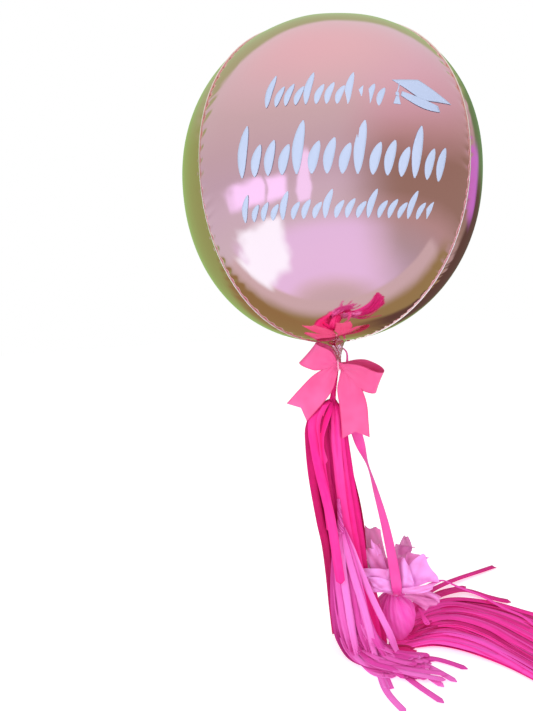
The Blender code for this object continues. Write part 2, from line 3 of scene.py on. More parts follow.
import bpy
import numpy as np
from mathutils import Matrix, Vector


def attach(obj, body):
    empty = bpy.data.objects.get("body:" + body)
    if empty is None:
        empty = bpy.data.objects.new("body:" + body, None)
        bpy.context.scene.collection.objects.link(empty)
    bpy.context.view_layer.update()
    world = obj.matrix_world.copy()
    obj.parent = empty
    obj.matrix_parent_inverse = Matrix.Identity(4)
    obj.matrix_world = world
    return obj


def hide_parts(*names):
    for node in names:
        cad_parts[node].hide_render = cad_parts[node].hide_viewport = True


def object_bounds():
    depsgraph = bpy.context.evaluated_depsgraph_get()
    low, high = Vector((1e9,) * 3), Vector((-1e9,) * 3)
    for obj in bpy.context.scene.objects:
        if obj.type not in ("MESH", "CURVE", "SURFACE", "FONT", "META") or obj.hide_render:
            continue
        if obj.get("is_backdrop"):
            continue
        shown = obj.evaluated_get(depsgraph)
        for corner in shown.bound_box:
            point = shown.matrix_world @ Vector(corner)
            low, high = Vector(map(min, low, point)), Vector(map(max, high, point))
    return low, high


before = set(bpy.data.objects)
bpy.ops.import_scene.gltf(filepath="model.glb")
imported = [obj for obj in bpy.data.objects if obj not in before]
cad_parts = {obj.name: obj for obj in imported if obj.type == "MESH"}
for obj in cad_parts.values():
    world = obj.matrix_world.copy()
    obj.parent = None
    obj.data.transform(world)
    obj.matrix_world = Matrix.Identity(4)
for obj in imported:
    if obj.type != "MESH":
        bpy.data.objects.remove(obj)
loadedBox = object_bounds()
chance = np.random.default_rng(11)
print("frame loaded")


# camera: the picture's own place and roll, seen at 533 by 711 pixels

lookout = {
    "eye": (0.0, -0.780157, 0.501017),
    "right": (0.98923033, 0.12485668, -0.07638172),
    "up": (0.06501004, 0.09274875, 0.99356498),
    "back": (0.13113753, -0.98783019, 0.08363294),
    "focalPixels": 548.0,
    "wide": 533,
    "tall": 711,
    "sensorMm": 36.0,
    "clip": (0.02, 60.0),
}


def makeCamera(spec):
    # focal length over the sensor's longer side, as in pixels over the picture's height
    data = bpy.data.cameras.new("lookout")
    data.sensor_width = spec["sensorMm"]
    data.lens = spec["sensorMm"] * spec["focalPixels"] / spec["tall"]
    data.clip_start, data.clip_end = spec["clip"]
    camera = bpy.data.objects.new("lookout", data)
    bpy.context.scene.collection.objects.link(camera)
    turn = np.eye(4)
    turn[:3, 0], turn[:3, 1], turn[:3, 2] = spec["right"], spec["up"], spec["back"]
    turn[:3, 3] = spec["eye"]
    camera.matrix_world = Matrix(turn.tolist())
    bpy.context.scene.camera = camera


def sightLine(px, py):
    # direction through a pixel: right and up by the pixel's offset over the focal length, and forward
    across = (px - lookout["wide"] / 2) / lookout["focalPixels"]
    rise = (lookout["tall"] / 2 - py) / lookout["focalPixels"]
    return across * np.array(lookout["right"]) + rise * np.array(lookout["up"]) - np.array(lookout["back"])


def atDepth(px, py, y):
    # where the sight line meets the upright plane at y
    eye, way = np.array(lookout["eye"]), sightLine(px, py)
    return eye + way * (y - eye[1]) / way[1]


def atHeight(px, py, z):
    # where the sight line meets the level plane at z
    eye, way = np.array(lookout["eye"]), sightLine(px, py)
    return eye + way * (z - eye[2]) / way[2]


makeCamera(lookout)
print("camera set")


# mesh helpers

def steps(points):
    # distance from each point to the next
    return np.linalg.norm(np.diff(points, axis=0), axis=1)


def runAlong(points):
    # length of the path from its first point to each point
    return np.concatenate([[0], np.cumsum(steps(points))])


def smoothRows(rows, count):
    # Catmull-Rom curve through the rows, at even steps of the row number
    rows = np.asarray(rows, float)
    last = len(rows) - 1
    t = np.linspace(0, last, count)
    k = np.minimum(t.astype(int), last - 1)
    f = (t - k)[:, None]
    p0, p1, p2, p3 = rows[np.maximum(k - 1, 0)], rows[k], rows[k + 1], rows[np.minimum(k + 2, last)]
    return 0.5 * (2 * p1 + (p2 - p0) * f + (2 * p0 - 5 * p1 + 4 * p2 - p3) * f**2
                  + (3 * p1 - p0 - 3 * p2 + p3) * f**3)


def evenRows(rows, count):
    # the same rows again at even steps of length, measured on the first three numbers
    fine = smoothRows(rows, 12 * len(rows))
    along = runAlong(fine[:, :3])
    want = np.linspace(0, along[-1], count)
    return np.stack([np.interp(want, along, fine[:, k]) for k in range(fine.shape[1])], 1)


def unit(v):
    # each vector over its own length
    return v / np.maximum(np.linalg.norm(v, axis=-1, keepdims=True), 1e-9)


def gridFaces(rows, cols, wrap=False):
    # four corners of each cell of a rows by cols grid; wrap joins the last column to the first
    i = np.arange(rows - 1)[:, None]
    j = np.arange(cols if wrap else cols - 1)[None, :]
    n = (j + 1) % cols
    return np.stack([i * cols + j, i * cols + n, (i + 1) * cols + n, (i + 1) * cols + j], -1).reshape(-1, 4)


def squareGrid(count):
    # two numbers that each go from 0 to 1 along one side of a square grid
    return np.meshgrid(np.linspace(0, 1, count), np.linspace(0, 1, count), indexing="ij")


def addPiece(name, points, faces, material, uv=None, tint=None, fans=()):
    # one smooth mesh: faces holds four corners each, and fans holds three each
    points = np.ascontiguousarray(points, np.float32).reshape(-1, 3)
    totals = np.append(np.full(len(faces), 4), np.full(len(fans), 3)).astype(np.int32)
    corners = np.append(np.ravel(faces), np.ravel(fans)).astype(np.int32)
    mesh = bpy.data.meshes.new(name)
    mesh.vertices.add(len(points))
    mesh.vertices.foreach_set("co", points.ravel())
    mesh.loops.add(len(corners))
    mesh.loops.foreach_set("vertex_index", corners)
    mesh.polygons.add(len(totals))
    mesh.polygons.foreach_set("loop_start", (np.cumsum(totals) - totals).astype(np.int32))
    mesh.polygons.foreach_set("loop_total", totals)
    mesh.polygons.foreach_set("use_smooth", np.full(len(totals), True))
    mesh.update(calc_edges=True)
    mesh.validate()
    if uv is not None:
        layer = mesh.uv_layers.new(name="strip")
        layer.data.foreach_set("uv", np.ascontiguousarray(uv, np.float32).reshape(-1, 2)[corners].ravel())
    # the per-point value stored here is painted light and shade, from 0 in shade to 1 in full light
    if tint is not None:
        mark = mesh.attributes.new("tint", "FLOAT", "POINT")
        mark.data.foreach_set("value", np.ascontiguousarray(tint, np.float32).ravel())
    mesh.materials.append(material)
    piece = bpy.data.objects.new(name, mesh)
    bpy.context.scene.collection.objects.link(piece)
    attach(piece, "root")
    return piece


def closedBand(rows, cols):
    # faces of a thin band with cols points in front and cols behind at each step, closed all round
    j = np.arange(cols - 1)
    start = np.stack([j, 2 * cols - 1 - j, 2 * cols - 2 - j, j + 1], -1)
    stop = (rows - 1) * 2 * cols + np.stack([j, j + 1, 2 * cols - 2 - j, 2 * cols - 1 - j], -1)
    return np.concatenate([gridFaces(rows, 2 * cols, wrap=True), start, stop])


def bandMesh(centres, across, widths, thick, cols, cup=0.0, pleat=None):
    # thin closed band: at each step a flat loop of cols points in front and cols behind, thick apart.
    # cup lifts the middle of the band by cup times its width, pleat adds a lift of its own
    centres, across = np.asarray(centres), unit(np.asarray(across))
    way = unit(np.gradient(centres, axis=0))
    across = unit(across - way * (across * way).sum(-1, keepdims=True))
    normal = np.cross(across, way)
    u = np.linspace(-1, 1, cols)
    lift = np.outer(widths, cup * (1 - u**2))
    if pleat is not None:
        lift = pleat + lift
    flat = centres[:, None] + across[:, None] * (u[None, :, None] * (widths / 2)[:, None, None])
    front = flat + normal[:, None] * (lift + thick / 2)[..., None]
    back = flat + normal[:, None] * (lift - thick / 2)[..., None]
    ring = np.concatenate([front, back[:, ::-1]], 1)
    side = np.concatenate([(u + 1) / 2, (u[::-1] + 1) / 2])
    uv = np.stack(np.broadcast_arrays(side[None, :], runAlong(centres)[:, None]), -1)
    return ring.reshape(-1, 3), closedBand(len(centres), cols), uv.reshape(-1, 2)


def joinMeshes(parts):
    # points one part after another, and faces counted on from the points before theirs
    starts = np.cumsum([0] + [len(part[0]) for part in parts])
    return (np.concatenate([part[0] for part in parts]),
            np.concatenate([part[1] + start for part, start in zip(parts, starts)]))


def joinBands(parts):
    # many bands as one mesh: each part is points, faces, uv and painted light, and each band's uv lies apart
    points, faces = joinMeshes(parts)
    uv = np.concatenate([part[2] + np.array([2.0 * k, 0.37 * k]) for k, part in enumerate(parts)])
    tint = np.concatenate([np.broadcast_to(np.ravel(part[3]), len(part[0])) for part in parts])
    return points, faces, uv, tint


def sheetArea(parts):
    # each quad as two triangles, and half of the sum, because a thin band shows both of its faces
    total = 0.0
    for p, f, *_ in parts:
        a, b, c, d = (p[f[:, k]] for k in range(4))
        first, second = np.cross(b - a, c - a), np.cross(c - a, d - a)
        total += float((np.linalg.norm(first, axis=1) + np.linalg.norm(second, axis=1)).sum() / 2)
    return total / 2


# shader helpers

class Wire:
    # one socket; arithmetic on it adds Math nodes
    def __init__(self, shop, socket):
        self.shop, self.socket = shop, socket

    def do(self, operation, first, second):
        return self.shop.node("ShaderNodeMath", {"operation": operation}, {0: first, 1: second})

    def __add__(self, other):
        return self.do("ADD", self, other)

    def __radd__(self, other):
        return self.do("ADD", other, self)

    def __sub__(self, other):
        return self.do("SUBTRACT", self, other)

    def __rsub__(self, other):
        return self.do("SUBTRACT", other, self)

    def __mul__(self, other):
        return self.do("MULTIPLY", self, other)

    def __rmul__(self, other):
        return self.do("MULTIPLY", other, self)


class Shop:
    # a node tree, with one way to add any node: its type, its settings first, then its sockets
    def __init__(self, tree):
        self.tree = tree

    def node(self, kind, settings=None, sockets=None, out=0):
        made = self.tree.nodes.new(kind)
        for key, value in (settings or {}).items():
            if key == "stops":
                ramp = made.color_ramp
                while len(ramp.elements) < len(value):
                    ramp.elements.new(0.5)
                for element, (place, colour) in zip(ramp.elements, value):
                    element.position, element.color = place, (*colour, 1.0)
            else:
                setattr(made, key, value)
        for key, value in (sockets or {}).items():
            if isinstance(value, Wire):
                self.tree.links.new(value.socket, made.inputs[key])
            else:
                made.inputs[key].default_value = value
        return Wire(self, made.outputs[out])

    def here(self):
        # Object coordinates
        return self.node("ShaderNodeTexCoord", {}, {}, 3)

    def axis(self, vector, number):
        # x, y or z of a vector, by 0, 1 or 2
        return self.node("ShaderNodeSeparateXYZ", {}, {0: vector}, number)

    def blend(self, mask, first, second):
        # first colour where the mask is 0 and second where it is 1
        colours = [c if isinstance(c, Wire) else (*c, 1.0) for c in (first, second)]
        return self.node("ShaderNodeMix", {"data_type": "RGBA"}, {0: mask, 6: colours[0], 7: colours[1]}, 2)

    def between(self, value, low, high, start=0.0, stop=1.0):
        # eases from start to stop while the value goes from low to high
        return self.node("ShaderNodeMapRange", {"interpolation_type": "SMOOTHSTEP"},
                         {0: value, 1: low, 2: high, 3: start, 4: stop})

    def noise(self, where, scale, detail=2.0, rough=0.5):
        # soft clouds, about so many to the metre on Object coordinates
        return self.node("ShaderNodeTexNoise", {}, {"Vector": where, "Scale": scale, "Detail": detail,
                                                    "Roughness": rough})


def newFinish(name, steady):
    # a material whose steady numbers stand on the shader's own sockets
    material = bpy.data.materials.new(name)
    material.use_nodes = True
    shop = Shop(material.node_tree)
    shader = material.node_tree.nodes["Principled BSDF"]
    for key, value in steady.items():
        shader.inputs[key].default_value = value
    return material, shop, shader


def feed(shader, wires):
    # each wire to the shader's socket of that name
    for key, wire in wires.items():
        wire.shop.tree.links.new(wire.socket, shader.inputs[key])


def bumpOf(shop, height, strength, distance):
    # a height that stands off the surface by at most the distance in metres
    return shop.node("ShaderNodeBump", {}, {"Height": height, "Strength": strength, "Distance": distance})


# finishes

def foilFinish(name, colour, shade, dents):
    # a mirror with broad clouds of a second shade, fine haze in the gloss and soft dents
    material, shop, shader = newFinish(name, {"Metallic": 1.0, "IOR": 1.45})
    where = shop.here()
    broad, wave, fine = shop.noise(where, 9.0), shop.noise(where, 26.0, 1.0), shop.noise(where, 160.0, 3.0)
    feed(shader, {"Base Color": shop.blend(broad, colour, shade), "Roughness": 0.045 + 0.05 * fine,
                  "Normal": bumpOf(shop, wave + 0.03 * fine, dents, 0.004)})
    return material


def satinFinish(name, colour, bright, deep):
    # threads run across and along the ribbon, clouds of gloss lie over it with painted sheen in them, and its
    # edges are woven thicker
    material, shop, shader = newFinish(name, {"Sheen Weight": 0.25, "Sheen Roughness": 0.3,
                                              "Specular IOR Level": 0.55, "Anisotropic": 0.4})
    strip = shop.node("ShaderNodeUVMap", {"uv_map": "strip"})
    side, along = shop.axis(strip, 0), shop.axis(strip, 1)
    threads = shop.node("ShaderNodeMath", {"operation": "SINE"}, {0: along * 5200.0})
    warp = shop.node("ShaderNodeMath", {"operation": "SINE"}, {0: side * 420.0})
    cloudy = shop.noise(shop.here(), 26.0)
    edge = shop.node("ShaderNodeMath", {"operation": "PINGPONG"}, {0: side, 1: 0.5})
    selvage = shop.between(edge, 0.018, 0.045, 1.0, 0.0)
    # painted sheen: the colour goes from deep to bright over broad clouds, standing in for the satin's sheen
    base = shop.blend(shop.between(cloudy, 0.0, 1.0), deep, bright)
    base = shop.blend(0.35, base, colour)
    feed(shader, {"Base Color": shop.blend(selvage * 0.55, base, deep), "Roughness": 0.36 + 0.12 * cloudy,
                  "Normal": bumpOf(shop, threads * 0.5 + warp * 0.5 + selvage * 2.0, 0.22, 0.0002)})
    return material


def tissueFinish(name, dark, middle, bright, glow, alpha=1.0):
    # the piece's painted light value, moved by streaks along the strip and by creases, which paint the shade
    # of their folds,
    # runs from dark over middle to bright: 0 is a strip in the shade of the others, and 1 is a strip in full
    # light
    material, shop, shader = newFinish(name, {"Sheen Weight": 0.03, "Sheen Roughness": 0.5,
                                              "Specular IOR Level": 0.12, "Emission Strength": glow})
    strip = shop.node("ShaderNodeUVMap", {"uv_map": "strip"})
    tint = shop.node("ShaderNodeAttribute", {"attribute_name": "tint"}, {}, 2)
    place = shop.here()
    stretched = shop.node("ShaderNodeMapping", {}, {"Vector": strip, "Scale": (5.0, 22.0, 1.0)})
    streak = shop.noise(stretched, 1.0, 3.0)
    fibre = shop.noise(place, 900.0)
    crease = shop.noise(place, 70.0, 4.0, 0.6)
    # painted light and shade: the strip's value, lighter and darker along its streaks and creases
    light = tint + 0.34 * (streak - 0.5) + 0.20 * (crease - 0.5)
    stops = [(0.0, dark), (0.5, middle), (1.0, bright)]
    colour = shop.node("ShaderNodeValToRGB", {"stops": stops}, {0: light})
    colour = shop.blend(0.16 * fibre, colour, bright)
    # the emission in the same colour is painted light: the tissue glows a little as if lit through
    feed(shader, {"Base Color": colour, "Emission Color": colour, "Roughness": 0.52 + 0.16 * fibre,
                  "Normal": bumpOf(shop, crease + 0.12 * fibre + 0.4 * streak, 0.35, 0.0016)})
    if alpha < 1.0:
        feed(shader, {"Alpha": shop.between(tint + 0.3 * (crease - 0.5), 0.0, 1.0, alpha, 0.99)})
    return material


roseFoil = foilFinish("roseFoil", (0.80, 0.44, 0.46), (0.83, 0.47, 0.48), 0.08)
seamFoil = foilFinish("seamFoil", (0.96, 0.70, 0.60), (0.98, 0.78, 0.68), 0.3)
# satins: their colour, then the bright and deep colours of their painted sheen; deep also colours the woven
# edges
bowSatin = satinFinish("bowSatin", (0.93, 0.10, 0.33), (0.98, 0.20, 0.50), (0.74, 0.02, 0.16))
tetherSatin = satinFinish("tetherSatin", (0.95, 0.05, 0.42), (1.0, 0.12, 0.52), (0.80, 0.02, 0.28))
# tissues: colours of a strip in shade, in middle light and in full light, which paint light and shade, then a
# glow that is painted light too
hotTissue = tissueFinish("hotTissue", (0.34, 0.0, 0.05), (0.88, 0.010, 0.25), (0.97, 0.07, 0.40), 0.05)
lilacTissue = tissueFinish("lilacTissue", (0.40, 0.01, 0.15), (0.74, 0.06, 0.40), (0.90, 0.21, 0.66), 0.05)
trailTissue = tissueFinish("trailTissue", (0.42, 0.0, 0.09), (0.90, 0.022, 0.31), (0.98, 0.10, 0.58), 0.06)
wrapTissue = tissueFinish("wrapTissue", (0.52, 0.01, 0.26), (0.88, 0.07, 0.46), (0.95, 0.16, 0.62), 0.05)
frillTissue = tissueFinish("frillTissue", (0.56, 0.11, 0.34), (0.82, 0.22, 0.54), (0.90, 0.36, 0.84), 0.07,
                           0.72)
print("finishes made")


# tether ribbon, a flat cord from the neck to the weight

tether = {
    "width": 0.015,
    "thick": 0.0005,
    "cup": 0.05,
    "foot": 0.0580,
    "top": 0.4358,
    # it narrows at both ends, where it goes into the neck and into the gather: rows, and shares of the width
    "rows": 140,
    "narrowing": ([0, 8, 22, 128, 139], [0.2, 0.3, 1.0, 1.0, 0.55]),
    # x and y, share of the way from foot to top, angle across in degrees
    "route": [
        (0.0030, 0.0040, 1.012, 70), (0.0108, 0.0070, 0.988, 60), (0.0107, 0.0060, 0.944, 50),
        (0.0101, 0.0030, 0.852, 40), (0.0125, 0.0010, 0.759, 25),
        (0.0190, -0.0010, 0.666, 12), (0.0298, -0.0030, 0.565, 80), (0.0396, -0.0050, 0.453, 62),
        (0.0497, -0.0080, 0.321, 40), (0.0573, -0.0110, 0.175, 20), (0.0601, -0.0120, 0.080, 5),
        (0.0600, 0.0040, 0.028, 0),
    ],
}


def level(angle):
    # level unit vectors at these angles in radians
    return np.stack([np.cos(angle), np.sin(angle), 0 * angle], 1)


def makeTether(spec):
    # a band along the route's smooth curve, turned about it by the angle across
    tall = spec["top"] - spec["foot"]
    route = [(x, y, spec["foot"] + share * tall, angle) for x, y, share, angle in spec["route"]]
    rows = evenRows(route, spec["rows"])
    width = spec["width"] * np.interp(np.arange(len(rows)), *spec["narrowing"])
    across = level(np.radians(rows[:, 3]))
    points, faces, uv = bandMesh(rows[:, :3], across, width, spec["thick"], 9, spec["cup"])
    piece = addPiece("tetherBand", points, faces, tetherSatin, uv)
    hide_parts("tether_ribbon")
    path = evenRows(route, 32)[:, :3]


makeTether(tether)
print("tether made")


# foil globe

globe = {
    "radius": 0.200,
    "topRise": 0.2014,
    "bottomDrop": 0.2152,
    "power": 2.09,
    "height": 0.664,
    "lean": math.radians(2.0),
    "seams": (-46.5, 52.5, 133.5, 232.5),
    "corner": 0.010,        # how far the seams stand out, as a share of the radius
    "flat": 0.018,          # how much flatter each panel is than the round
    "pucker": 0.00085,
    "puckerReach": 0.0125,
    "dent": 0.00022,        # broad soft dents
    "rows": 300,
    # columns of each panel, closer together beside the seams: from, to and how many
    "columns": [(0, 0.13, 13), (0.13, 0.87, 22), (0.87, 1, 13)],
    # the neck: shares of its length and the radius there
    "neck": ([0, 0.03, 0.16, 0.34, 0.62, 0.98, 1.0],
             [0.0215, 0.0178, 0.0132, 0.0100, 0.0064, 0.0040, 0.0034]),
    "knot": (-0.0022, 0.0, 0.416),
    # the welded edge along each seam: width, thickness, how far its root is sunk and its tip stands out,
    # and how far it buckles
    "fin": {"width": 0.0018, "thick": 0.0008, "sunk": -0.0006, "proud": 0.0011, "buckle": 0.0008},
}


def leanPoints(x, y, h):
    # turned about the y axis through the middle of the globe by the lean
    c, s = math.cos(globe["lean"]), math.sin(globe["lean"])
    return np.stack([x * c + h * s, y, globe["height"] - x * s + h * c], -1)


def panelShare(azimuth):
    # 0 at one seam of the panel to 1 at the next, and the panel's number
    seams = np.array(globe["seams"])
    edges = np.append(seams, seams[0] + 360)
    azimuth = (np.asarray(azimuth, float) - seams[0]) % 360 + seams[0]
    number = np.clip(np.searchsorted(edges, azimuth, side="right") - 1, 0, 3)
    return (azimuth - edges[number]) / (edges[number + 1] - edges[number]), number


def panelForm(azimuth):
    # radius factor: seams stand out like the corners of a cushion and the panels between are flatter
    share, _ = panelShare(azimuth)
    return 1 + globe["corner"] - globe["flat"] * np.sin(np.pi * share)


def globeRadius(h):
    # an oval of powers a little above two: flatter at the sides than a circle, and longer below the middle
    reach = np.where(h > 0, globe["topRise"], globe["bottomDrop"])
    return globe["radius"] * np.maximum(1 - np.abs(h / reach) ** globe["power"], 0) ** (1 / globe["power"])


def onGlobe(azimuth, h, lift=0.0):
    # point of the smooth globe at an azimuth in degrees and a height from its middle
    a = np.radians(azimuth)
    fade = np.clip(globeRadius(h) / 0.09, 0, 1)
    r = globeRadius(h) * (1 + (panelForm(azimuth) - 1) * fade)
    out = unit(np.stack([r * np.sin(a), -r * np.cos(a), h], -1))
    flat = np.stack([r * np.sin(a), -r * np.cos(a), h], -1) + out * np.asarray(lift)[..., None]
    return leanPoints(flat[..., 0], flat[..., 1], flat[..., 2])


def meridian(count):
    # radius and height down one side, at even steps of length, from the top to where the neck starts
    t = np.linspace(0.004, np.pi - 0.10, 2400)
    power = 2 / globe["power"]
    reach = np.where(t < np.pi / 2, globe["topRise"], globe["bottomDrop"])
    r = globe["radius"] * np.abs(np.sin(t)) ** power
    h = np.sign(np.cos(t)) * reach * np.abs(np.cos(t)) ** power
    along = np.concatenate([[0], np.cumsum(np.hypot(np.diff(r), np.diff(h)))])
    want = np.linspace(0, along[-1], count)
    return np.interp(want, along, r), np.interp(want, along, h), want


def makeGlobe(spec):
    # rows run down the meridian and columns round the azimuth, pushed in by puckers and dents; the neck
    # goes on below them
    r, h, along = meridian(spec["rows"])
    share = np.concatenate([np.linspace(*column, endpoint=False) for column in spec["columns"]])
    seams = np.append(spec["seams"], spec["seams"][0] + 360)
    azimuth = np.concatenate([a + (b - a) * share for a, b in zip(seams, seams[1:])])
    s, number = panelShare(azimuth)
    span = np.diff(seams)[number]
    # distance to the nearer seam in metres, for each row and column
    near = np.minimum(s, 1 - s)[None, :] * np.radians(span)[None, :] * r[:, None]
    which = np.where(s < 0.5, number, (number + 1) % 4)[None, :]
    # puckers: sharp slanted furrows that start at the seam and die out away from it
    slant = along[:, None] + near * 0.35
    wander = 0.004 * np.sin(31 * slant + 2.3 * which) + 0.0025 * np.sin(83 * slant + which)
    busy = np.where(which == 1, np.clip((along[:, None] - 0.30) / 0.1, 0, 1), 0.0)
    coarse = np.abs(np.sin(np.pi * (slant + wander) / 0.0150 + which)) ** 4
    fine = np.abs(np.sin(np.pi * (slant + 0.5 * wander) / 0.0068 + 2 * which)) ** 3
    ends = np.clip(r / 0.05, 0, 1)[:, None] ** 2
    depth = spec["pucker"] * ends * ((1 - busy) * coarse + busy * (0.6 * coarse + 0.55 * fine))
    reachOut = spec["puckerReach"] * (0.75 + 0.35 * np.sin(57 * along[:, None] + which))
    depth = depth * np.exp(-(near / reachOut) ** 2) * (1 - np.exp(-(near / 0.0012) ** 2) * 0.4)
    a = np.radians(azimuth)[None, :]
    dents = spec["dent"] * (np.sin(5 * a + 17 * h[:, None]) + np.sin(8 * a - 23 * h[:, None] + 1.0))
    points = onGlobe(azimuth[None, :], h[:, None] + 0 * azimuth[None, :], dents - depth)
    # neck: shrinks along a line from the bottom of the globe to the knot, more and more crumpled
    foot = leanPoints(np.array(0.0), np.array(0.0), np.array(-spec["bottomDrop"]))
    t = np.linspace(0, 1, 42)[1:, None]
    neckRadius = np.interp(t, *spec["neck"])
    crumple = 1 + np.clip(3 * t, 0, 1) * (0.10 * np.sin(7 * a + 9 * t) + 0.07 * np.sin(13 * a - 14 * t)
                                       + 0.05 * np.sin(23 * a + 31 * t))
    line = foot + (np.array(spec["knot"]) - foot) * t[..., None]
    out = np.stack(np.broadcast_arrays(np.sin(a), -np.cos(a), 0 * t), -1)
    neck = line + (neckRadius * crumple)[..., None] * out
    grid = np.concatenate([points, neck]).astype(np.float32)
    rows, cols = grid.shape[:2]
    # a fan of triangles closes the first ring and another the last, each about the ring's middle
    j = np.arange(cols)
    n, foot, count = (j + 1) % cols, (rows - 1) * cols, rows * cols
    fans = np.concatenate([np.stack([0 * j + count, j, n], -1),
                           np.stack([0 * j + count + 1, foot + n, foot + j], -1)])
    points = np.concatenate([grid.reshape(-1, 3), [grid[0].mean(0), grid[-1].mean(0)]])
    piece = addPiece("globe", points, gridFaces(rows, cols, wrap=True)[:, ::-1], roseFoil, fans=fans)
    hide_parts("balloon")


def makeSeamFins(spec):
    # a narrow welded edge stands out along each seam, and two sine waves buckle it to the sides
    fin = spec["fin"]
    r, h, along = meridian(420)
    keep = r > 0.012
    r, h, along = r[keep], h[keep], along[keep]
    parts = []
    for k, azimuth in enumerate(spec["seams"]):
        base = onGlobe(np.full(len(h), azimuth), h, np.full(len(h), fin["sunk"]))
        buckle = 0.25 * np.sin(2 * np.pi * along / 0.0145 + k) + 0.15 * np.sin(2 * np.pi * along / 0.0051)
        tipAzimuth = azimuth + np.degrees(buckle * fin["buckle"] / np.maximum(r, 0.03))
        tip = onGlobe(tipAzimuth, h, np.full(len(h), fin["proud"]))
        width = np.full(len(h), fin["width"])
        parts.append((*bandMesh((base + tip) / 2, tip - base, width, fin["thick"], 3), 0.0))
    points, faces, uv, _ = joinBands(parts)
    piece = addPiece("seamFins", points, faces, seamFoil, uv)


makeGlobe(globe)
makeSeamFins(globe)
print("globe made")


# flat vinyl: three rows of plain leaf-like strokes and a cap figure

vinyl = {
    "lift": 0.00035,
    "under": 0.00012,       # height of its lower layer above the foil
    # first and last azimuth, height at each end, tall, widest of a stroke, how many
    "rows": [
        (-16.9, 17.6, 0.0630, 0.0545, 0.034, 0.0076, 12),
        (-26.0, 38.0, 0.0040, -0.0100, 0.053, 0.0118, 15),
        (-27.2, 34.8, -0.0550, -0.0620, 0.028, 0.0074, 19),
    ],
    "rhythm": (1.0, 0.60, 0.66, 0.56),      # heights of the strokes, over and over
    "slant": (-1.2, -0.5, 1.4),             # azimuth of a stroke's foot, middle and tip from its place
    # the cap, by azimuth and height: four corners of the board, of the band under it and of the tuft
    "board": [(21.8, 0.0661), (31.5, 0.0690), (44.1, 0.0474), (31.4, 0.0462)],
    "band": [(24.6, 0.0540), (37.6, 0.0424), (38.1, 0.0357), (24.0, 0.0492)],
    "bandBow": 0.0045,
    "tuft": [(22.3, 0.0484), (23.3, 0.0484), (23.6, 0.0395), (21.2, 0.0402)],
    # lines of the cord and of its knot, each with its width and the columns across
    "cord": ([(24.2, 0.0630), (23.6, 0.0575), (22.8, 0.0520)], 0.0012, 3),
    "cordKnot": ([(22.9, 0.0530), (22.9, 0.0505), (22.8, 0.0488)], 0.0042, 5),
}


def layPatch(azimuth, h):
    # a thin flat piece of vinyl over the globe: an upper layer and one just above the foil
    high = onGlobe(azimuth, h, np.full(h.shape, vinyl["lift"]))
    low = onGlobe(azimuth, h, np.full(h.shape, vinyl["under"]))
    rows, cols = h.shape
    return np.concatenate([high, low[:, ::-1]], 1).reshape(-1, 3), closedBand(rows, cols)


def layStroke(line, widest, pointed=True, cols=5, count=26):
    # the line is in azimuth degrees and height; the width swells to the middle and thins to both ends
    rows = smoothRows(line, count)
    scale = float(globeRadius(rows[:, 1]).mean())
    flat = np.stack([np.radians(rows[:, 0]) * scale, rows[:, 1]], 1)
    way = unit(np.gradient(flat, axis=0))
    side = np.stack([-way[:, 1], way[:, 0]], 1)
    t = np.linspace(0, 1, count)
    swell = np.sin(np.pi * np.clip(t, 0.03, 0.97)) ** (0.75 if pointed else 0.25)
    u = np.linspace(-1, 1, cols)
    spot = flat[:, None] + side[:, None] * (u[None, :, None] * (widest / 2 * swell)[:, None, None])
    return layPatch(np.degrees(spot[..., 0] / scale), spot[..., 1])


def layQuad(corners, bow=0.0, count=12):
    # even mix of four corners in azimuth and height; the far side may bow down
    s, t = squareGrid(count)
    shares = ((1 - s) * (1 - t), s * (1 - t), s * t, (1 - s) * t)
    spot = sum(share[..., None] * corner for share, corner in zip(shares, np.asarray(corners, float)))
    spot[..., 1] -= bow * np.sin(np.pi * s) * t
    return layPatch(spot[..., 0], spot[..., 1])


def makeVinyl(spec):
    # rows of strokes at even steps of azimuth, on a line that slopes from one end height to the other
    # the vinyl glows faintly in its own colour, which is painted light
    material, shop, shader = newFinish("paleVinyl", {"Roughness": 0.42, "Specular IOR Level": 0.35,
                                                     "Emission Strength": 0.06})
    where = shop.here()
    colour = shop.blend(shop.noise(where, 14.0), (0.37, 0.45, 0.62), (0.47, 0.53, 0.70))
    feed(shader, {"Base Color": colour, "Emission Color": colour,
                  "Normal": bumpOf(shop, shop.noise(where, 700.0), 0.1, 0.0002)})
    parts = []
    for first, last, startH, stopH, tall, widest, count in spec["rows"]:
        for k in range(count):
            share = spec["rhythm"][k % 4]
            s = k / (count - 1)
            a, low = first + (last - first) * s, startH + (stopH - startH) * s - tall * 0.5
            line = [(a + step, low + tall * share * up) for step, up in zip(spec["slant"], (0, 0.5, 1))]
            parts.append(layStroke(line, widest * (0.8 + 0.2 * share)))
    parts += [layQuad(spec["board"]), layQuad(spec["band"], spec["bandBow"])]
    for line, width, cols in (spec["cord"], spec["cordKnot"]):
        parts.append(layStroke(line, width, False, cols, 14))
    parts.append(layQuad(spec["tuft"]))
    piece = addPiece("vinylMarks", *joinMeshes(parts), material)


makeVinyl(vinyl)
print("vinyl laid")


# bow

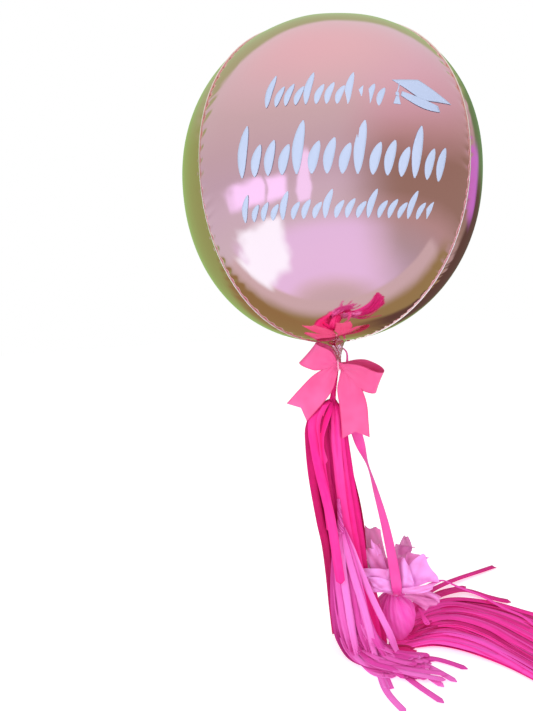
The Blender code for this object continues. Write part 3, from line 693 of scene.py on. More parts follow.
bow = {
    "knot": (-0.0022, 0.0, 0.416),
    "full": 0.038,
    "pinch": 0.2,
    "thick": 0.0005,
    "cup": 0.02,
    "pleat": 0.0015,
    "notch": 0.009,
    "rows": 460,
    "cols": 29,
    # where the two loops leave the knot and come back to it
    "leftGather": ((-0.0034, -0.0090, 0.0019), (-0.0036, -0.0120, 0.0015)),
    "rightGather": ((0.0036, -0.0120, -0.0017), (0.0036, -0.0105, -0.0001)),
    # tails: x, y and z from the knot, angle across in degrees, share of the full width
    "rightTail": [
        (0.0178, -0.0215, -0.1023, 6, 1.0), (0.0177, -0.0200, -0.0803, 5, 1.0),
        (0.0169, -0.0170, -0.0563, 4, 1.0),
        (0.0124, -0.0130, -0.0332, 6, 0.86), (0.0105, -0.0115, -0.0187, 18, 0.58),
        (0.0083, -0.0104, -0.0081, 42, 0.34),
        (0.0034, -0.0090, -0.0021, 56, 0.2),
    ],
    "leftTail": [
        (-0.0034, -0.0105, -0.0015, 92, 0.2), (-0.0099, -0.0120, -0.0083, 112, 0.50),
        (-0.0234, -0.0160, -0.0236, 126, 0.90), (-0.0427, -0.0190, -0.0433, 130, 1.0),
        (-0.0621, -0.0200, -0.0625, 133, 1.0),
    ],
    # loops: where the tip lies from the knot, angle of the fold, half opening, lean of the fold to the front
    "leftLoop": {"tip": (-0.0405, -0.0245, 0.0215), "fold": 46, "open": 0.0125, "lean": 13, "sense": -1},
    "rightLoop": {"tip": (0.0560, -0.0150, -0.0262), "fold": 70, "open": 0.0135, "lean": 30, "sense": 1},
}


def tailRows(rows):
    # place, the direction across in the upright plane, and the share of the width
    rows = np.array(rows)
    turn = np.radians(rows[:, 3])
    return np.column_stack([rows[:, :3], np.cos(turn), 0 * turn, np.sin(turn), rows[:, 4]])


def loopRows(spec, start, stop, pinch):
    # drop-shaped loop: out along one layer, round the tip and back along the other.
    # along the axis it goes as half of one minus cosine, and to the side as sine times that
    u = np.linspace(0.06, 0.94, 15)
    out = (1 - np.cos(2 * np.pi * u)) / 2
    side = spec["sense"] * np.sin(2 * np.pi * u) * out**0.7
    lean, fold = math.radians(spec["lean"]), math.radians(spec["fold"])
    up = np.array([math.cos(fold), 0.0, math.sin(fold)])
    toFront = np.array([0.0, -math.cos(lean), 0.0]) - up * math.sin(lean)
    across = up * math.cos(lean) + np.array([0.0, -math.sin(lean), 0.0])
    base = np.array(start) * (1 - u[:, None]) + np.array(stop) * u[:, None]
    out, side = out[:, None], side[:, None]
    path = base * (1 - out) + np.array(spec["tip"]) * out + toFront * (spec["open"] * side)
    share = pinch + (1 - pinch) * np.clip(out[:, 0] / 0.42, 0, 1) ** 0.8
    return np.column_stack([path, np.tile(across, (len(u), 1)), share])


def makeBow(spec):
    # one length of ribbon: up the right tail, round the left loop and the right one, and down the left tail
    rows = evenRows(np.concatenate([
        tailRows(spec["rightTail"]),
        loopRows(spec["leftLoop"], *spec["leftGather"], spec["pinch"]),
        loopRows(spec["rightLoop"], *spec["rightGather"], spec["pinch"]),
        tailRows(spec["leftTail"]),
    ]), spec["rows"])
    centres = rows[:, :3] + np.array(spec["knot"])
    width = rows[:, 6] * spec["full"]
    cols = spec["cols"]
    u = np.linspace(-1, 1, cols)
    along = np.linspace(0, 1, len(rows))
    # pleats gather where the ribbon is pinched and fade as it opens; the open stretches bow slightly
    tight = np.clip((1 - rows[:, 6]) / (1 - spec["pinch"]), 0, 1)
    spread = np.convolve(tight, np.ones(23) / 23, "same")
    wave = np.sin(np.pi * (3.2 * u[None, :] + 0.8 * np.sin(14 * along[:, None])))
    pleat = spec["pleat"] * (spread * (1.15 - 0.75 * tight))[:, None] * wave * (1 - 0.5 * u[None, :] ** 2)
    points, faces, uv = bandMesh(centres, rows[:, 3:6], width, spec["thick"], cols, spec["cup"], pleat)
    # swallow-tail ends: points near an end slide inwards, most at the middle
    grid = points.reshape(len(rows), 2 * cols, 3)
    side = np.concatenate([u, u[::-1]])
    reach = 26
    for order in (1, -1):
        line = centres[::order]
        fade = (1 - np.arange(reach) / reach)[:, None] * (1 - np.abs(side))[None, :] * spec["notch"]
        grid[::order][:reach] += fade[..., None] * unit(line[reach] - line[0])
    piece = addPiece("bow", grid, faces, bowSatin, uv)
    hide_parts("bow_ribbon")
    sheetArea([(points, faces)])


makeBow(bow)


def dressTie():
    # slanted bands, raised a little, as a twisted thread, with the lighter of two pinks on the raised crests
    # as painted light
    material, shop, shader = newFinish("tieThread", {"Sheen Weight": 0.2, "Roughness": 0.35})
    twist = shop.node("ShaderNodeTexWave", {"wave_type": "BANDS", "bands_direction": "DIAGONAL"},
                      {"Vector": shop.here(), "Scale": 420.0, "Distortion": 1.5})
    feed(shader, {"Base Color": shop.blend(twist, (0.88, 0.20, 0.40), (0.96, 0.46, 0.62)),
                  "Normal": bumpOf(shop, twist, 0.5, 0.0003)})
    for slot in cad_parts["bow_tie"].material_slots:
        slot.material = material


dressTie()
print("bow made")


# tissue tassels: every strip is a thin band of its own

def stripRows(rows, count, width, thick, tint, turn, endRound, cup, wave=0.0, phase=0.0):
    # rows: x, y, z and angle across in plan. Two slow sine waves turn and tip the strip, its width eases in
    # from a gathered start and may end in a half circle, and no row lies below the floor
    rows = evenRows(rows, count)
    centres = rows[:, :3]
    t = np.linspace(0, 1, count)
    angle = np.radians(rows[:, 3]) + wave * np.sin(2 * np.pi * (1.3 * t + phase))
    across = level(angle)
    across[:, 2] = turn * np.sin(2 * np.pi * (0.9 * t + phase)) * np.clip(centres[:, 2] / 0.05 - 0.4, 0, 1)
    length = steps(centres).sum()
    wide = width * np.clip(0.28 + t * length / 0.045, 0, 1)
    if endRound > 0:
        last = np.clip((1 - t) * length / (width / 2), 0, 1)
        wide = wide * np.sqrt(np.clip(1 - (1 - last) ** 2, 0.03, 1))
    points, faces, uv = bandMesh(centres, across, wide, thick, 4, cup)
    ring = points.reshape(count, 8, 3)
    ring[:, :, 2] += np.maximum(0.0003 - ring[:, :, 2].min(1), 0)[:, None]
    # painted shade: a strip is darker near its gathered start, where the others shade it, and a slow wave
    # makes it lighter and darker along its length
    shade = tint - 0.30 * np.exp(-(t * length / 0.022) ** 2) + 0.06 * np.sin(9 * t + 20 * phase + 30 * tint)
    return points, faces, uv, np.repeat(np.clip(shade, 0.02, 1.0), 8)


def stationAt(stations, z):
    # middle and half sizes at these heights, in straight steps between the stations
    stations = np.asarray(stations)[::-1]
    return [np.interp(z, stations[:, 2], stations[:, k]) for k in (0, 1, 3, 4)]


def twistedStem(top, foot, radius, width, thick, paintedLights, count):
    # six bands turn about the line from top to foot; radius and width are tables over its length, and the
    # bands take the two painted light values in turn, lighter and darker round the twist
    t = np.linspace(0, 1, count)
    around, parts = np.interp(t, *radius), []
    for k in range(6):
        a = 2 * np.pi * k / 6 + 8 * t
        line = top + (foot - top) * t[:, None] + around[:, None] * level(a)
        across = np.stack([-np.sin(a), np.cos(a), 0 * a], 1)
        parts.append((*bandMesh(line, across, np.interp(t, *width), thick * 2, 4, 0.12), paintedLights[k % 2]))
    return parts


def finishTassel(name, parts, material, node):
    # one piece of all its strips, and the area of their sheet
    points, faces, uv, tint = joinBands(parts)
    piece = addPiece(name, points, faces, material, uv, tint)
    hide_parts(node)
    area = sheetArea(parts)


upper = {
    "stripWidth": 0.0140,
    "thick": 0.00018,
    "shift": 0.0028,        # moves the rings right and slims them, so that they keep inside the outline
    "heights": (0.376, 0.366, 0.354, 0.339, 0.320, 0.298, 0.270, 0.240, 0.208, 0.172, 0.136, 0.100, 0.076),
    "rings": [(26, 0.97, 0.0), (20, 0.78, 0.4), (12, 0.50, 0.9)],       # strips, share of the size, start
    # x, y and z of the middle, half of the width and of the depth
    "stations": [
        (-0.0032, 0.000, 0.4105, 0.0034, 0.0034), (-0.0076, 0.000, 0.3951, 0.0031, 0.0031),
        (-0.0121, 0.000, 0.3792, 0.0036, 0.0034), (-0.0143, 0.000, 0.3662, 0.0085, 0.0062),
        (-0.0186, 0.000, 0.3543, 0.0158, 0.0095), (-0.0218, 0.000, 0.3393, 0.0210, 0.0125),
        (-0.0234, 0.000, 0.3203, 0.0262, 0.0150), (-0.0241, 0.000, 0.2983, 0.0295, 0.0170),
        (-0.0217, 0.000, 0.2703, 0.0320, 0.0180), (-0.0182, 0.000, 0.2402, 0.0335, 0.0185),
        (-0.0138, 0.001, 0.2082, 0.0335, 0.0180), (-0.0109, 0.005, 0.1721, 0.0330, 0.0165),
        (-0.0090, 0.008, 0.1361, 0.0315, 0.0165), (-0.0092, 0.010, 0.1001, 0.0300, 0.0175),
        (-0.0101, 0.011, 0.0741, 0.0290, 0.0180),
    ],
    # strips that show one by one at the front: pixel column and row, depth, angle across; then painted light,
    # how round the end is, and width
    "shown": [
        ([(331, 397, -0.004, 0), (320, 408, -0.015, -20), (313, 420, -0.021, -14), (312.5, 432, -0.024, -6),
          (314.5, 446, -0.027, 4), (317, 460, -0.030, 8), (321, 478, -0.035, 4), (326.5, 500, -0.040, 4),
          (331, 520, -0.043, 2), (334.5, 542, -0.046, 0), (337.5, 562, -0.049, 0),
          (341, 584, -0.051, 0)], 0.66, 1.0, 0.0128),
        ([(330, 398, -0.003, 0), (316, 410, -0.012, -10), (309.5, 426, -0.018, -6), (308.8, 440, -0.020, 0),
          (312, 475, -0.024, 4), (320, 520, -0.028, 4), (325.5, 545, -0.028, 0), (329.5, 575, -0.026, 0),
          (332.5, 605, -0.022, 0), (336, 634, -0.016, 4)], 0.16, 0.0, 0.0110),
        ([(331, 398, -0.002, 0), (317, 412, -0.008, 30), (311, 432, -0.012, 30), (311.5, 452, -0.014, 24),
          (315.5, 482, -0.016, 20), (322, 522, -0.018, 20), (328, 560, -0.018, 16), (333, 600, -0.014, 12),
          (340, 632, -0.010, 10)], 0.05, 0.0, 0.0120),
        ([(333, 397, -0.004, 10), (327, 412, -0.016, 20), (324, 436, -0.020, 30), (325, 460, -0.022, 16),
          (328, 490, -0.024, 10), (332, 516, -0.026, 14), (334, 534, -0.027, 20)], 0.12, 0.0, 0.0130),
        ([(335, 397, -0.004, 0), (335, 412, -0.015, 6), (336, 436, -0.019, 4), (338, 462, -0.021, -4),
          (342, 500, -0.023, -8), (347, 532, -0.022, -6), (354, 566, -0.018, 0), (360, 600, -0.014, 4),
          (366, 630, -0.012, 8), (374, 648, -0.012, 20)], 0.82, 0.0, 0.0135),
        ([(337, 397, -0.003, 0), (341, 412, -0.012, 20), (344, 438, -0.015, 24), (348, 466, -0.016, 20),
          (353, 500, -0.016, 14), (359, 534, -0.014, 10), (363, 566, -0.010, 10), (366, 600, -0.008, 8),
          (369, 632, -0.006, 6)], 0.34, 0.0, 0.0135),
        ([(336, 397, -0.004, 0), (338, 412, -0.014, 10), (340, 438, -0.018, 14), (343, 466, -0.019, 10),
          (348, 500, -0.020, 6), (353, 532, -0.019, 6), (358, 562, -0.014, 4), (362, 592, -0.010, 0),
          (365, 624, -0.008, 0)], 0.62, 0.0, 0.0125),
        ([(338, 500, -0.006, 10), (347, 532, -0.008, 14), (356, 558, -0.010, 10), (366, 590, -0.012, 6),
          (374, 620, -0.014, 10),
          (379, 648, -0.026, 20)], 0.55, 1.0, 0.0130),
        ([(342, 500, -0.004, 0), (352, 532, -0.004, 4), (361, 562, -0.004, 6), (372, 592, -0.006, 6),
          (379, 622, -0.008, 10),
          (384, 648, -0.020, 20)], 0.30, 1.0, 0.0130),
        ([(336, 500, -0.010, 0), (344, 532, -0.014, 4), (352, 562, -0.018, 6), (361, 592, -0.020, 6),
          (368, 622, -0.022, 10),
          (374, 650, -0.030, 20)], 0.42, 1.0, 0.0130),
        ([(330, 398, -0.002, 0), (316, 408, -0.006, 60), (310, 424, -0.008, 80), (310, 446, -0.008, 84),
          (313, 474, -0.008, 84),
          (319.5, 510, -0.008, 84), (325, 545, -0.008, 84), (329.5, 580, -0.008, 82),
          (332.5, 610, -0.007, 80),
          (336, 634, -0.006, 76)], 0.12, 0.0, 0.0130),
        ([(332, 398, -0.006, 0), (324, 408, -0.018, 30), (319, 424, -0.024, 50), (321, 444, -0.026, 60),
          (325, 464, -0.024, 30)],
         0.80, 1.0, 0.0110),
        ([(333, 398, -0.007, 0), (330, 410, -0.019, -30), (325, 424, -0.024, -50), (321, 440, -0.025, -46),
          (322, 466, -0.026, -20),
          (327, 500, -0.030, 0), (331, 530, -0.033, 0)], 0.58, 0.0, 0.0120),
    ],
}


def makeUpperTassel(spec):
    # three rings of strips round the stations' ovals, each strip drifting round its ring on the way down
    parts = []
    heights = np.array(spec["heights"])
    down = np.linspace(0, 1, len(heights))
    cx, cy, hw, hd = stationAt(spec["stations"], heights)
    neck = atDepth(332, 402, -0.004)
    slim = spec["shift"] * np.clip((0.345 - heights) / 0.05, 0, 1)
    cx, hw = cx + slim, hw - slim
    for ringNumber, (count, share, start) in enumerate(spec["rings"]):
        for k in range(count):
            a = 2 * np.pi * (k + start) / count + 0.10 * chance.normal()
            drift = 0.35 * chance.normal()
            q = share * (1 + 0.035 * chance.normal())
            bearing = a + drift * down**1.5
            inset = 0.80 + 0.20 * np.clip(down * 3, 0, 1)
            x = cx + (hw - 0.004 * inset) * q * np.cos(bearing)
            y = cy + (hd - 0.002) * q * np.sin(bearing)
            twist = float(np.clip(24 * chance.normal(), -38, 38)) * np.linspace(0.2, 1, len(heights))
            plan = np.degrees(np.arctan2(np.cos(bearing) * hd, -np.sin(bearing) * hw)) + twist
            plan = np.unwrap(np.radians(plan)) * 180 / np.pi
            rows = [(*(neck + 0.0016 * chance.normal(size=3)), plan[0])]
            rows += [tuple(v) for v in np.stack([x, y, heights, plan], 1)][1:]
            end = rows[-1]
            side = (end[0] - cx[-1]) / hw[-1]
            layer = 0.0008 + 0.0005 * (k % 7) + 0.001 * ringNumber
            if math.sin(bearing[-1]) < 0.15:
                # strips at the front land and run to the right
                lx = -0.026 + 0.022 * (side + 1) / 2 + 0.004 * chance.normal()
                ly = -0.002 - 0.012 * chance.random()
                plan = end[3]
                square = plan - plan % 180
                rows += [
                    (0.6 * end[0] + 0.4 * lx, 0.6 * end[1] + 0.4 * ly, 0.040, plan),
                    (lx, ly - 0.004, 0.012 + layer, plan),
                    (lx + 0.016, ly - 0.010, layer + 0.002, plan + (90 - plan % 180) * 0.6),
                    (lx + 0.045, ly - 0.014 - 0.004 * chance.random(), layer, 90 + square),
                    (0.070 + 0.012 * chance.random(), -0.020 - 0.010 * chance.random(), layer, 80 + square),
                ]
            else:
                # the others land and run to the back
                lx, ly = -0.010 + 0.018 * side, 0.020 + 0.012 * chance.random()
                rows += [
                    (0.5 * end[0] + 0.5 * lx, 0.5 * end[1] + 0.5 * ly, 0.040, end[3]),
                    (lx, ly + 0.008, 0.012 + layer, end[3]),
                    (lx + 0.002, ly + 0.030, layer + 0.002, end[3]),
                    (lx + 0.004 * side + 0.002, ly + 0.050 + 0.016 * chance.random(), layer, end[3]),
                ]
            # painted light: strips at the front are lighter, the inner rings and the left flank darker as
            # painted shade, and each varies a little at random
            lit = 0.42 + 0.20 * chance.normal() - 0.10 * ringNumber
            lit += 0.10 * (-math.sin(a)) - 0.28 * max(0.0, -math.cos(a) - 0.55)
            width = spec["stripWidth"] * (0.8 + 0.2 * chance.random())
            parts.append(stripRows(rows, 46, width, spec["thick"], float(np.clip(lit, 0.05, 1.0)),
                                   0.25, 1.0, 0.07, 0.22, chance.random()))
    for line, tint, endRound, width in spec["shown"]:
        # each starts in the gather
        px, _, y, angle = line[0]
        line = [(332.2 + 0.35 * (px - 334), 400, y, angle), *line[1:]]
        rows = [(*atDepth(px, py, y), angle) for px, py, y, angle in line]
        parts.append(stripRows(rows, 60, width, spec["thick"], tint, 0.0, endRound, 0.08))
    # twisted stem under the knot
    parts += twistedStem(atDepth(336.5, 366, 0.0), atDepth(332, 405, -0.004),
                         ([0, 0.7, 1], [0.0026, 0.0030, 0.0050]), ([0, 1], [0.0046, 0.0046]),
                         spec["thick"], (0.40, 0.70), 44)
    finishTassel("hangingTissue", parts, hotTissue, "upper_tassel")


lower = {
    "stripWidth": 0.0096,
    "thick": 0.00018,
    # pixel column and row with a depth while it hangs, then with a height once it lies; then painted light
    "shown": [
        ([(339, 527, -0.030), (335.5, 552, -0.034), (333.8, 578, -0.038), (333.6, 602, -0.038),
          (336, 626, -0.034), (340, 642, -0.030)],
         [(350, 657, 0.0030), (368, 665, 0.0020), (392, 666, 0.0030)], 0.18),
        ([(340, 527, -0.031), (338, 552, -0.037), (338, 580, -0.043), (341, 606, -0.045),
          (346, 630, -0.042)],
         [(355, 655, 0.0040), (372, 668, 0.0022), (398, 671, 0.0022)], 0.70),
        ([(341, 527, -0.031), (341.5, 552, -0.038), (344, 580, -0.046), (348, 606, -0.049),
          (352, 630, -0.047)],
         [(360, 660, 0.0030), (376, 674, 0.0015), (396, 676, 0.0015)], 1.0),
        ([(342, 527, -0.031), (347, 552, -0.037), (355, 580, -0.044), (363, 606, -0.047),
          (370, 632, -0.048)],
         [(376, 660, 0.0030), (386, 690, 0.0012), (406, 713, 0.0010)], 0.94),
        ([(343, 527, -0.030), (350, 552, -0.035), (358, 580, -0.041), (364, 606, -0.044),
          (371, 630, -0.046)],
         [(389, 660, 0.0035), (412, 681, 0.0014), (444, 703, 0.0012)], 0.60),
        ([(344, 527, -0.028), (353, 552, -0.034), (363, 577, -0.038), (376, 606, -0.042),
          (388, 630, -0.046)],
         [(400, 655, 0.0030), (421, 671, 0.0014), (444, 687, 0.0012)], 1.0),
        ([(342, 527, -0.029), (346, 556, -0.034), (352, 586, -0.038), (361, 616, -0.040),
          (372, 640, -0.042)],
         [(402, 656, 0.0040), (428, 666, 0.0020), (457, 682, 0.0012)], 0.80),
        ([(341, 527, -0.028), (343, 556, -0.032), (347, 590, -0.034), (355, 622, -0.035),
          (368, 645, -0.036)],
         [(404, 657, 0.0050), (436, 659, 0.0024), (468, 669, 0.0012)], 0.50),
    ],
}


def makeLowerTassel(spec):
    # the strips that show, then mixes of two of them a little further back, and a low heap of short ones
    parts, lines = [], []
    for hang, lie, tint in spec["shown"]:
        rows = [atDepth(*spot) for spot in hang] + [atHeight(*spot) for spot in lie]
        lines.append((np.array(rows), tint))
        parts.append(lowerStrip(rows, spec, tint, 1.0))
    # more strips lie between and behind those
    for k in range(44):
        i, j = chance.choice([0, 1, 2, 3, 4, 6, 7], 2)
        f = chance.random()
        (first, paintedLightA), (second, paintedLightB) = lines[i], lines[j]
        count = 9
        a, b = smoothRows(first, count), smoothRows(second, count)
        mixed = a * (1 - f) + b * f
        mixed[:, 1] += np.linspace(0.003, 0.006 + 0.020 * chance.random(), count) * np.linspace(1, 0.5, count)
        mixed[:, 2] = np.maximum(mixed[:, 2], 0.0012)
        stop = 7 + int(2 * chance.random())
        rows = mixed[:stop]
        # painted shade: a mixed strip further back is darker than the mean of the two it mixes, and varies at
        # random
        tint = float(np.clip(0.5 * (paintedLightA + paintedLightB) - 0.14 + 0.34 * chance.normal(), 0.03, 1.0))
        parts.append(lowerStrip(rows, spec, tint, float(chance.random() < 0.6), 0.92))
    # the heap between this tassel and the weight
    for k in range(34):
        u, w = chance.random(2)
        hang = [atDepth(336 + 14 * u, 600, -0.026 + 0.010 * w),
                atDepth(342 + 16 * u, 640, -0.028 + 0.010 * w)]
        lie = [atHeight(352 + 22 * u, 655 + 6 * w, 0.004 + 0.010 * chance.random()),
               atHeight(375 + 20 * u, 661 + 8 * w, 0.002 + 0.010 * chance.random()),
               atHeight(400 + 60 * u * chance.random(), 660 + 20 * w, 0.002 + 0.006 * chance.random())]
        if k % 2:
            hang = [atDepth(350 + 12 * u, 616, -0.022 + 0.008 * w),
                    atDepth(364 + 16 * u, 642, -0.022 + 0.010 * w)]
            lie = [atHeight(383 + 12 * u, 651 + 6 * w, 0.003 + 0.007 * chance.random()),
                   atHeight(408 + 24 * u, 655 + 10 * w, 0.002 + 0.008 * chance.random())]
        # painted light of the heap's strips, lighter or darker at random about a middle value
        tint = float(np.clip(0.62 + 0.28 * chance.normal(), 0.04, 1.0))
        parts.append(lowerStrip(hang + lie, spec, tint, 1.0, 0.95))
    # gathered knob at the top and the twisted link above it
    parts += twistedStem(atDepth(338.5, 499, -0.0235), atDepth(341, 532, -0.031),
                         ([0, 0.6, 1], [0.0018, 0.0024, 0.0050]), ([0, 1], [0.0026, 0.0070]),
                         spec["thick"], (0.30, 0.75), 36)
    finishTassel("lilacTissue", parts, lilacTissue, "lower_tassel")


def lowerStrip(rows, spec, tint, endRound, slim=1.0):
    # while it hangs a strip faces the front; where it lies it faces up
    rows = np.asarray(rows)
    step = np.gradient(rows, axis=0)
    lying = np.degrees(np.arctan2(step[:, 0], -step[:, 1]))
    share = np.clip((0.050 - rows[:, 2]) / 0.045, 0, 1)
    angle = lying * share + 8 * chance.normal() * (1 - share)
    return stripRows(np.column_stack([rows, angle]), 48, spec["stripWidth"] * slim, spec["thick"], tint,
                     0.18, endRound, 0.07)


trail = {
    "stripWidth": 0.0145,
    "thick": 0.00018,
    "reach": 0.034,         # how far the strips run on past the picture
    "shortWidth": 0.009,
    # pixel column and row, and height above the floor; then painted light
    "short": [
        ([(431.7, 620.6, 0.017), (420, 626.5, 0.016), (408, 633, 0.014)], 0.10),
        ([(438, 626, 0.017), (423, 631.5, 0.016), (408, 638, 0.012)], 0.16),
        ([(419, 608, 0.020), (423, 616, 0.018), (428, 625, 0.017)], 0.85),
    ],
    # the same; then painted light, width and how round the end is
    "shown": [
        ([(408, 612, 0.010), (424, 595, 0.010), (450, 581.5, 0.006),
          (482, 570.5, 0.003)], 0.28, 0.0110, 0.0),
        ([(410, 612, 0.009), (425, 600, 0.009), (444, 591, 0.005), (466, 586.5, 0.002)], 0.20, 0.0100, 1.0),
        ([(412, 612, 0.009), (432, 598, 0.010), (462, 590, 0.007), (489, 597, 0.003)], 0.25, 0.0130, 1.0),
        ([(418, 590, 0.030), (441, 580.5, 0.028), (456, 586, 0.018), (483, 596.7, 0.012),
          (503, 607.6, 0.010),
          (524, 617, 0.008), (540, 630, 0.006)], 0.80, 0.0062, 0.0),
        ([(412, 618, 0.010), (446, 600, 0.012), (488, 602, 0.008), (527, 612.5, 0.003)], 0.40, 0.0110, 0.0),
        ([(410, 622, 0.010), (444, 604, 0.014), (486, 610, 0.010), (528, 624, 0.005),
          (560, 644, 0.004)], 0.66, 0.0145, 0.0),
        ([(408, 626, 0.008), (442, 611, 0.014), (486, 616, 0.012), (528, 636, 0.006),
          (562, 656, 0.004)], 0.50, 0.0145, 0.0),
        ([(406, 630, 0.008), (444, 617, 0.015), (486, 626, 0.012), (526, 650, 0.006),
          (560, 668, 0.004)], 0.58, 0.0145, 0.0),
        ([(404, 634, 0.006), (442, 624, 0.014), (480, 634, 0.010), (522, 656, 0.005),
          (560, 678, 0.004)], 0.44, 0.0145, 0.0),
        ([(404, 640, 0.005), (440, 632, 0.012), (478, 640, 0.010), (520, 662, 0.005),
          (556, 684, 0.004)], 0.72, 0.0145, 0.0),
        ([(404, 646, 0.004), (434, 641, 0.010), (470, 648, 0.009), (508, 662, 0.005),
          (550, 684, 0.004)], 0.97, 0.0135, 0.0),
    ],
}


def makeFloorTassel(spec):
    # the strips that show, a few short ones, and mixes of two neighbours, lower and a little to the side
    parts, lines = [], []
    for line, tint, width, endRound in spec["shown"]:
        rows = np.array([atHeight(*spot) for spot in line])
        rows = np.vstack([rows[0] + 0.022 * unit(rows[0] - rows[1]), rows])
        if tint != 0.97 and rows[-1, 0] > 0.2:
            further = spec["reach"] + 0.006 * chance.normal()
            rows = np.vstack([rows, rows[-1] + unit(rows[-1] - rows[-2]) * further])
        lines.append((rows, tint))
        parts.append(trailStrip(rows, width, spec, tint, endRound))
    for short, tint in spec["short"]:
        rows = np.array([atHeight(*spot) for spot in short])
        parts.append(trailStrip(rows, spec["shortWidth"], spec, tint, 1.0))
    for k in range(64):
        i = 4 + int(chance.integers(0, 6))
        f = chance.random()
        (first, paintedLightA), (second, paintedLightB) = lines[i], lines[i + 1]
        a, b = smoothRows(first, 9), smoothRows(second, 9)
        rows = a * (1 - f) + b * f
        rows[:, 2] = np.clip(rows[:, 2] * (0.35 + 0.65 * chance.random()), 0.0010, 1)
        rows[:, 1] += 0.003 * chance.normal()
        stop = 9 if chance.random() < 0.8 else 7
        # painted light of a mixed strip: the mean of its neighbours', a little darker, and varied at random
        tint = float(np.clip(0.5 * (paintedLightA + paintedLightB) + 0.30 * chance.normal() - 0.06, 0.04, 1.0))
        width = spec["stripWidth"] * (0.7 + 0.3 * chance.random())
        parts.append(trailStrip(rows[:stop], width, spec, tint, 0.0))
    finishTassel("trailingTissue", parts, trailTissue, "floor_tassel")


def trailStrip(rows, width, spec, tint, endRound):
    # it lies flat, square to its own way in plan
    step = np.gradient(rows, axis=0)
    angle = np.unwrap(np.arctan2(step[:, 0], -step[:, 1])) * 180 / np.pi
    return stripRows(np.column_stack([rows, angle]), 40, width, spec["thick"], tint, 0.0, endRound, 0.10)


makeUpperTassel(upper)
makeLowerTassel(lower)
makeFloorTassel(trail)
print("tassels made")


# weight wrapped in tissue

weight = {
    "x": 0.0575,
    "y": 0.0185,
    "height": 0.0725,
    # height and radius, from the floor up
    "profile": [(0.0, 0.0), (0.0, 0.0120), (0.0012, 0.0180), (0.010, 0.0235), (0.024, 0.0280),
                (0.040, 0.0295),
                (0.052, 0.0255), (0.060, 0.0185), (0.066, 0.0112), (0.0725, 0.0078), (0.0725, 0.0)],
}


def makeWeight(spec):
    # the profile turned about its axis, its radius changed by folds, small folds and a crumple
    rows, cols = smoothRows(spec["profile"], 130), 180
    z, r = np.clip(rows[:, 0], 0, spec["height"])[:, None], np.maximum(rows[:, 1], 0)[:, None]
    a = np.linspace(0, 2 * np.pi, cols, endpoint=False)[None, :]
    up = z / spec["height"]
    # folds run up to the gather: ridges that sharpen towards the top, and a slanted crumple
    ridge = np.abs(np.sin(6.5 * a + 0.8 * np.sin(3 * a) + 1.5 * up)) ** 0.7 - 0.6
    small = np.abs(np.sin(15 * a + 7 * up)) - 0.6
    crumple = np.sin(9 * a + 180 * z) * np.sin(150 * z + 4 * a)
    radius = r * (1 + (0.004 + 0.13 * up**4) * ridge + (0.006 + 0.06 * up**2) * small
                  + 0.012 * crumple * np.clip(r / 0.02, 0, 1))
    points = np.stack([spec["x"] + radius * np.cos(a), spec["y"] + radius * np.sin(a), z + 0 * a], -1)
    faces = gridFaces(len(rows), cols, wrap=True)
    uv = np.stack(np.broadcast_arrays(a / (2 * np.pi), z), -1)
    # painted light and shade: fold ridges and crumples lighter, the hollows between them darker, and the side
    # towards the angle 5.2 lighter
    tint = 0.50 + 0.9 * ridge * (0.06 + 0.6 * up**2) + 0.12 * crumple + 0.22 * np.cos(a - 5.2)
    piece = addPiece("wrappedWeight", points, faces, wrapTissue, uv, np.clip(tint, 0.05, 1))
    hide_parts("balloon_weight")


